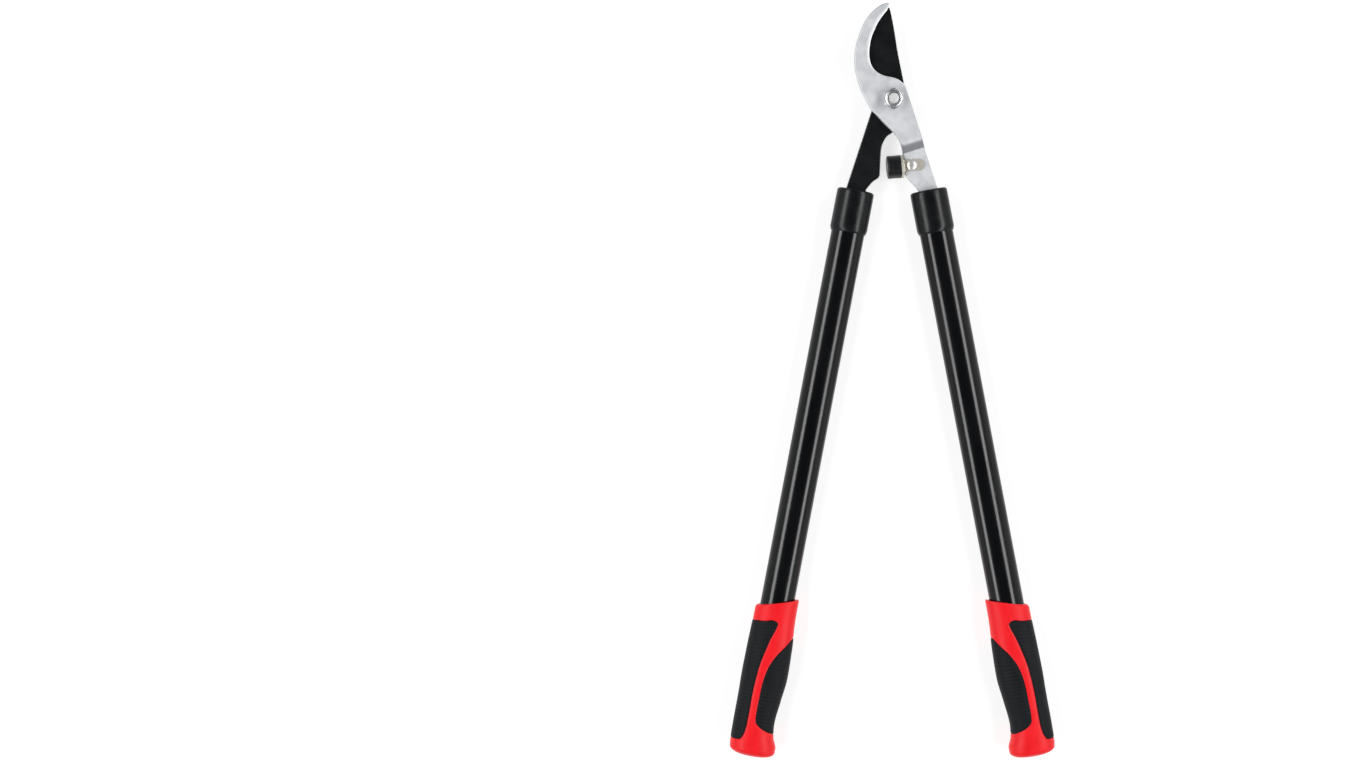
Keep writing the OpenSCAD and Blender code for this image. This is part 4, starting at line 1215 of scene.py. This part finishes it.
# %% The strap
def strap_grid():
    """The strap: a rounded flat section carried along its path, thinning to nothing at its ends."""
    half, r = STRAP_T / 2, STRAP_W / 2
    tip = disc_at - 18.6
    fold = 1.2
    high = ARM_HALF + half
    a = np.radians(np.linspace(0, 90, 7))
    corner = np.stack([disc_at - half - fold + fold * np.sin(a), high - fold + fold * np.cos(a)], 1)
    # The half round end is met at cosine steps, so its outline stays smooth.
    t = np.radians(np.linspace(4, 90, 12))
    leg = np.concatenate([tip + r * (1 - np.cos(t)), np.linspace(tip + r, disc_at - half - fold, 10)[1:-1]])
    upper = np.vstack([np.stack([leg, np.full(len(leg), high)], 1), corner])
    path = np.vstack([upper, (upper * [1, -1])[::-1]])
    into = np.minimum(path[:, 0] - tip, r)
    width = np.sqrt(np.maximum(r * r - (r - into) ** 2, 0.01))
    way = np.gradient(path, axis=0)
    way /= np.linalg.norm(way, axis=1)[:, None]
    normal = np.stack([-way[:, 1], way[:, 0]], 1)
    round_off = 0.25
    grid = []
    for across, up, inset in ((-1, -1, 0), (-1, -1, 1), (-1, 1, 1), (-1, 1, 0),
                              (1, 1, 0), (1, 1, 1), (1, -1, 1), (1, -1, 0)):
        w = across * (width - round_off * (1 - inset))
        xz = path + up * (half - round_off * inset) * normal
        plan = bumper_at + xz[:, :1] * bumper_out + w[:, None] * bumper_up
        grid.append(np.column_stack([plan, xz[:, 1]]))
    return np.stack(grid, 1)


strap = piece("bumper_strap", closed(strap_grid()), "bumper_steel", "counter_half", "bumper_bracket", 28)
drill(strap, [(bumper_at, RIVET_R + CLEAR)], 28)

# %% The rivet
face = ARM_HALF + STRAP_T
DOME_R, DOME_H = 4.7, 2.0
rivet = [(DOME_R * math.cos(t) + 0.02, face + 0.35 + DOME_H * math.sin(t))
         for t in np.radians(np.linspace(90, 0, 14))]
rivet += [(DOME_R + 0.02, face + 0.12), (4.6, face), (RIVET_R, face), (RIVET_R, -face)]
rivet += [(r, -face - h) for r, h in (
    (3.0, 0), (3.3, 0.15), (3.42, 0.5), (3.25, 0.85), (2.8, 1.05), (2.2, 1.02), (1.7, 0.75), (1.5, 0.3),
    (1.45, -3.0), (0.3, -3.4))]
rivet_skin = closed(turned(rivet, at=at_bumper))
piece("bumper_dome_rivet", rivet_skin, "rivet_steel", "counter_half", "bumper_rivet")

# %% [markdown]
# ## Hidden pieces
# The nylon blocks, the rivets through the tangs and the bumper's stud are simple turned or sawn
# forms inside other pieces. Their CAD shapes are right as they are, so they only get their finish.

# %% Finishes of the CAD nodes that stay
for node, slot in (
    ("counter_tang_insert", "nylon"), ("blade_tang_insert", "nylon"),
    ("counter_tang_rivets", "zinc_hardware"), ("blade_tang_rivets", "zinc_hardware"),
    ("bumper_stud", "zinc_hardware"),
):
    kept = frame["nodes"][node]
    kept.data.materials.clear()
    kept.data.materials.append(finishes[slot])

# %% [markdown]
# ## Floor, light and camera
# The tool lies on a pale sheet under two long soft boxes, one on each side. They draw the two long
# streaks along each tube, and between them the black stays deep because the sky straight
# above is dim. Light from low down is brighter, to open the shadows.

# %% Floor
b = Bench("pale_sheet")
paper = b.mix(b.between(b.noise(400, 3.0, 0.5), 0.3, 0.7), (0.43, 0.43, 0.43), (0.46, 0.46, 0.46))
sheet = b.done(Base_Color=paper, Roughness=0.85, Normal=b.bump(b.noise(3, 3.0, 0.5), 0.02, 0.2),
               Specular_IOR_Level=0.2, Emission_Color=(1, 1, 1, 1), Emission_Strength=0.7)
floor_mesh = bpy.data.meshes.new("floor")
FAR = 6.0
floor_mesh.from_pydata([(-FAR, -FAR, 0), (FAR, -FAR, 0), (FAR, FAR, 0), (-FAR, FAR, 0)], [], [(0, 1, 2, 3)])
floor_mesh.materials.append(sheet)
floor = placed("floor", floor_mesh)
floor.location.z = cad_low.z - 0.0002

# %% Sky and soft boxes
world = bpy.data.worlds.new("studio")
bpy.context.scene.world = world
b = Bench("studio", world)
way = b.add("TexCoord", out="Generated")
to_sides = b.add("MapRange", {"Value": b.sums("ABSOLUTE", b.part(way, 0)), 1: 0.25, 2: 0.75})
to_top = b.add("MapRange", {"Value": b.part(way, 2), 1: 0.25, 2: 0.92})
sky = b.mix(to_top, b.mix(to_sides, (0.22, 0.225, 0.235), (0.70, 0.705, 0.715)), (0.06, 0.062, 0.066))
# Seen directly, past the edge of the floor, it is an even pale backdrop.
backdrop = b.mix(b.add("LightPath", out="Is Camera Ray"), sky, (0.82, 0.82, 0.82))
b.add("OutputWorld", {0: b.add("Background", {0: backdrop, 1: 1.0})})

BOX_SIZE, BOX_GLOW, BOX_HIGH, BOX_ASIDE, BOX_Y = (0.36, 2.6), 6.5, 1.2, 1.0, -0.1
for name, x in (("left_box", -BOX_ASIDE), ("right_box", BOX_ASIDE)):
    # A rectangle of that glow (radiance) has a power of the glow times pi times its area.
    light = bpy.data.lights.new(name, "AREA")
    light.shape, light.size, light.size_y = "RECTANGLE", *BOX_SIZE
    light.energy = BOX_GLOW * math.pi * BOX_SIZE[0] * BOX_SIZE[1]
    box = placed(name, light)
    box.location = (x, BOX_Y, BOX_HIGH)
    box.rotation_euler = (0, math.atan2(x, BOX_HIGH), 0)
    box.visible_camera = False

# %% Camera
centre = (cad_low + cad_high) / 2
lens = bpy.data.cameras.new("camera")
lens.lens, lens.sensor_width, lens.clip_end = 60, 36, 50
camera = placed("camera", lens)
camera.location = (centre.x - 0.1864, centre.y - 0.0021, pivot[2] + 1.992)
bpy.context.scene.camera = camera
bpy.context.scene.view_settings.view_transform = "Standard"

# %% [markdown]
# ## The CAD box
# Its corners are printed once more at the end.
# The visual model has to stay inside the CAD box, so both boxes are written down to compare.

# %% Sizes
print("CAD ", [round(v, 5) for v in cad_low], [round(v, 5) for v in cad_high])
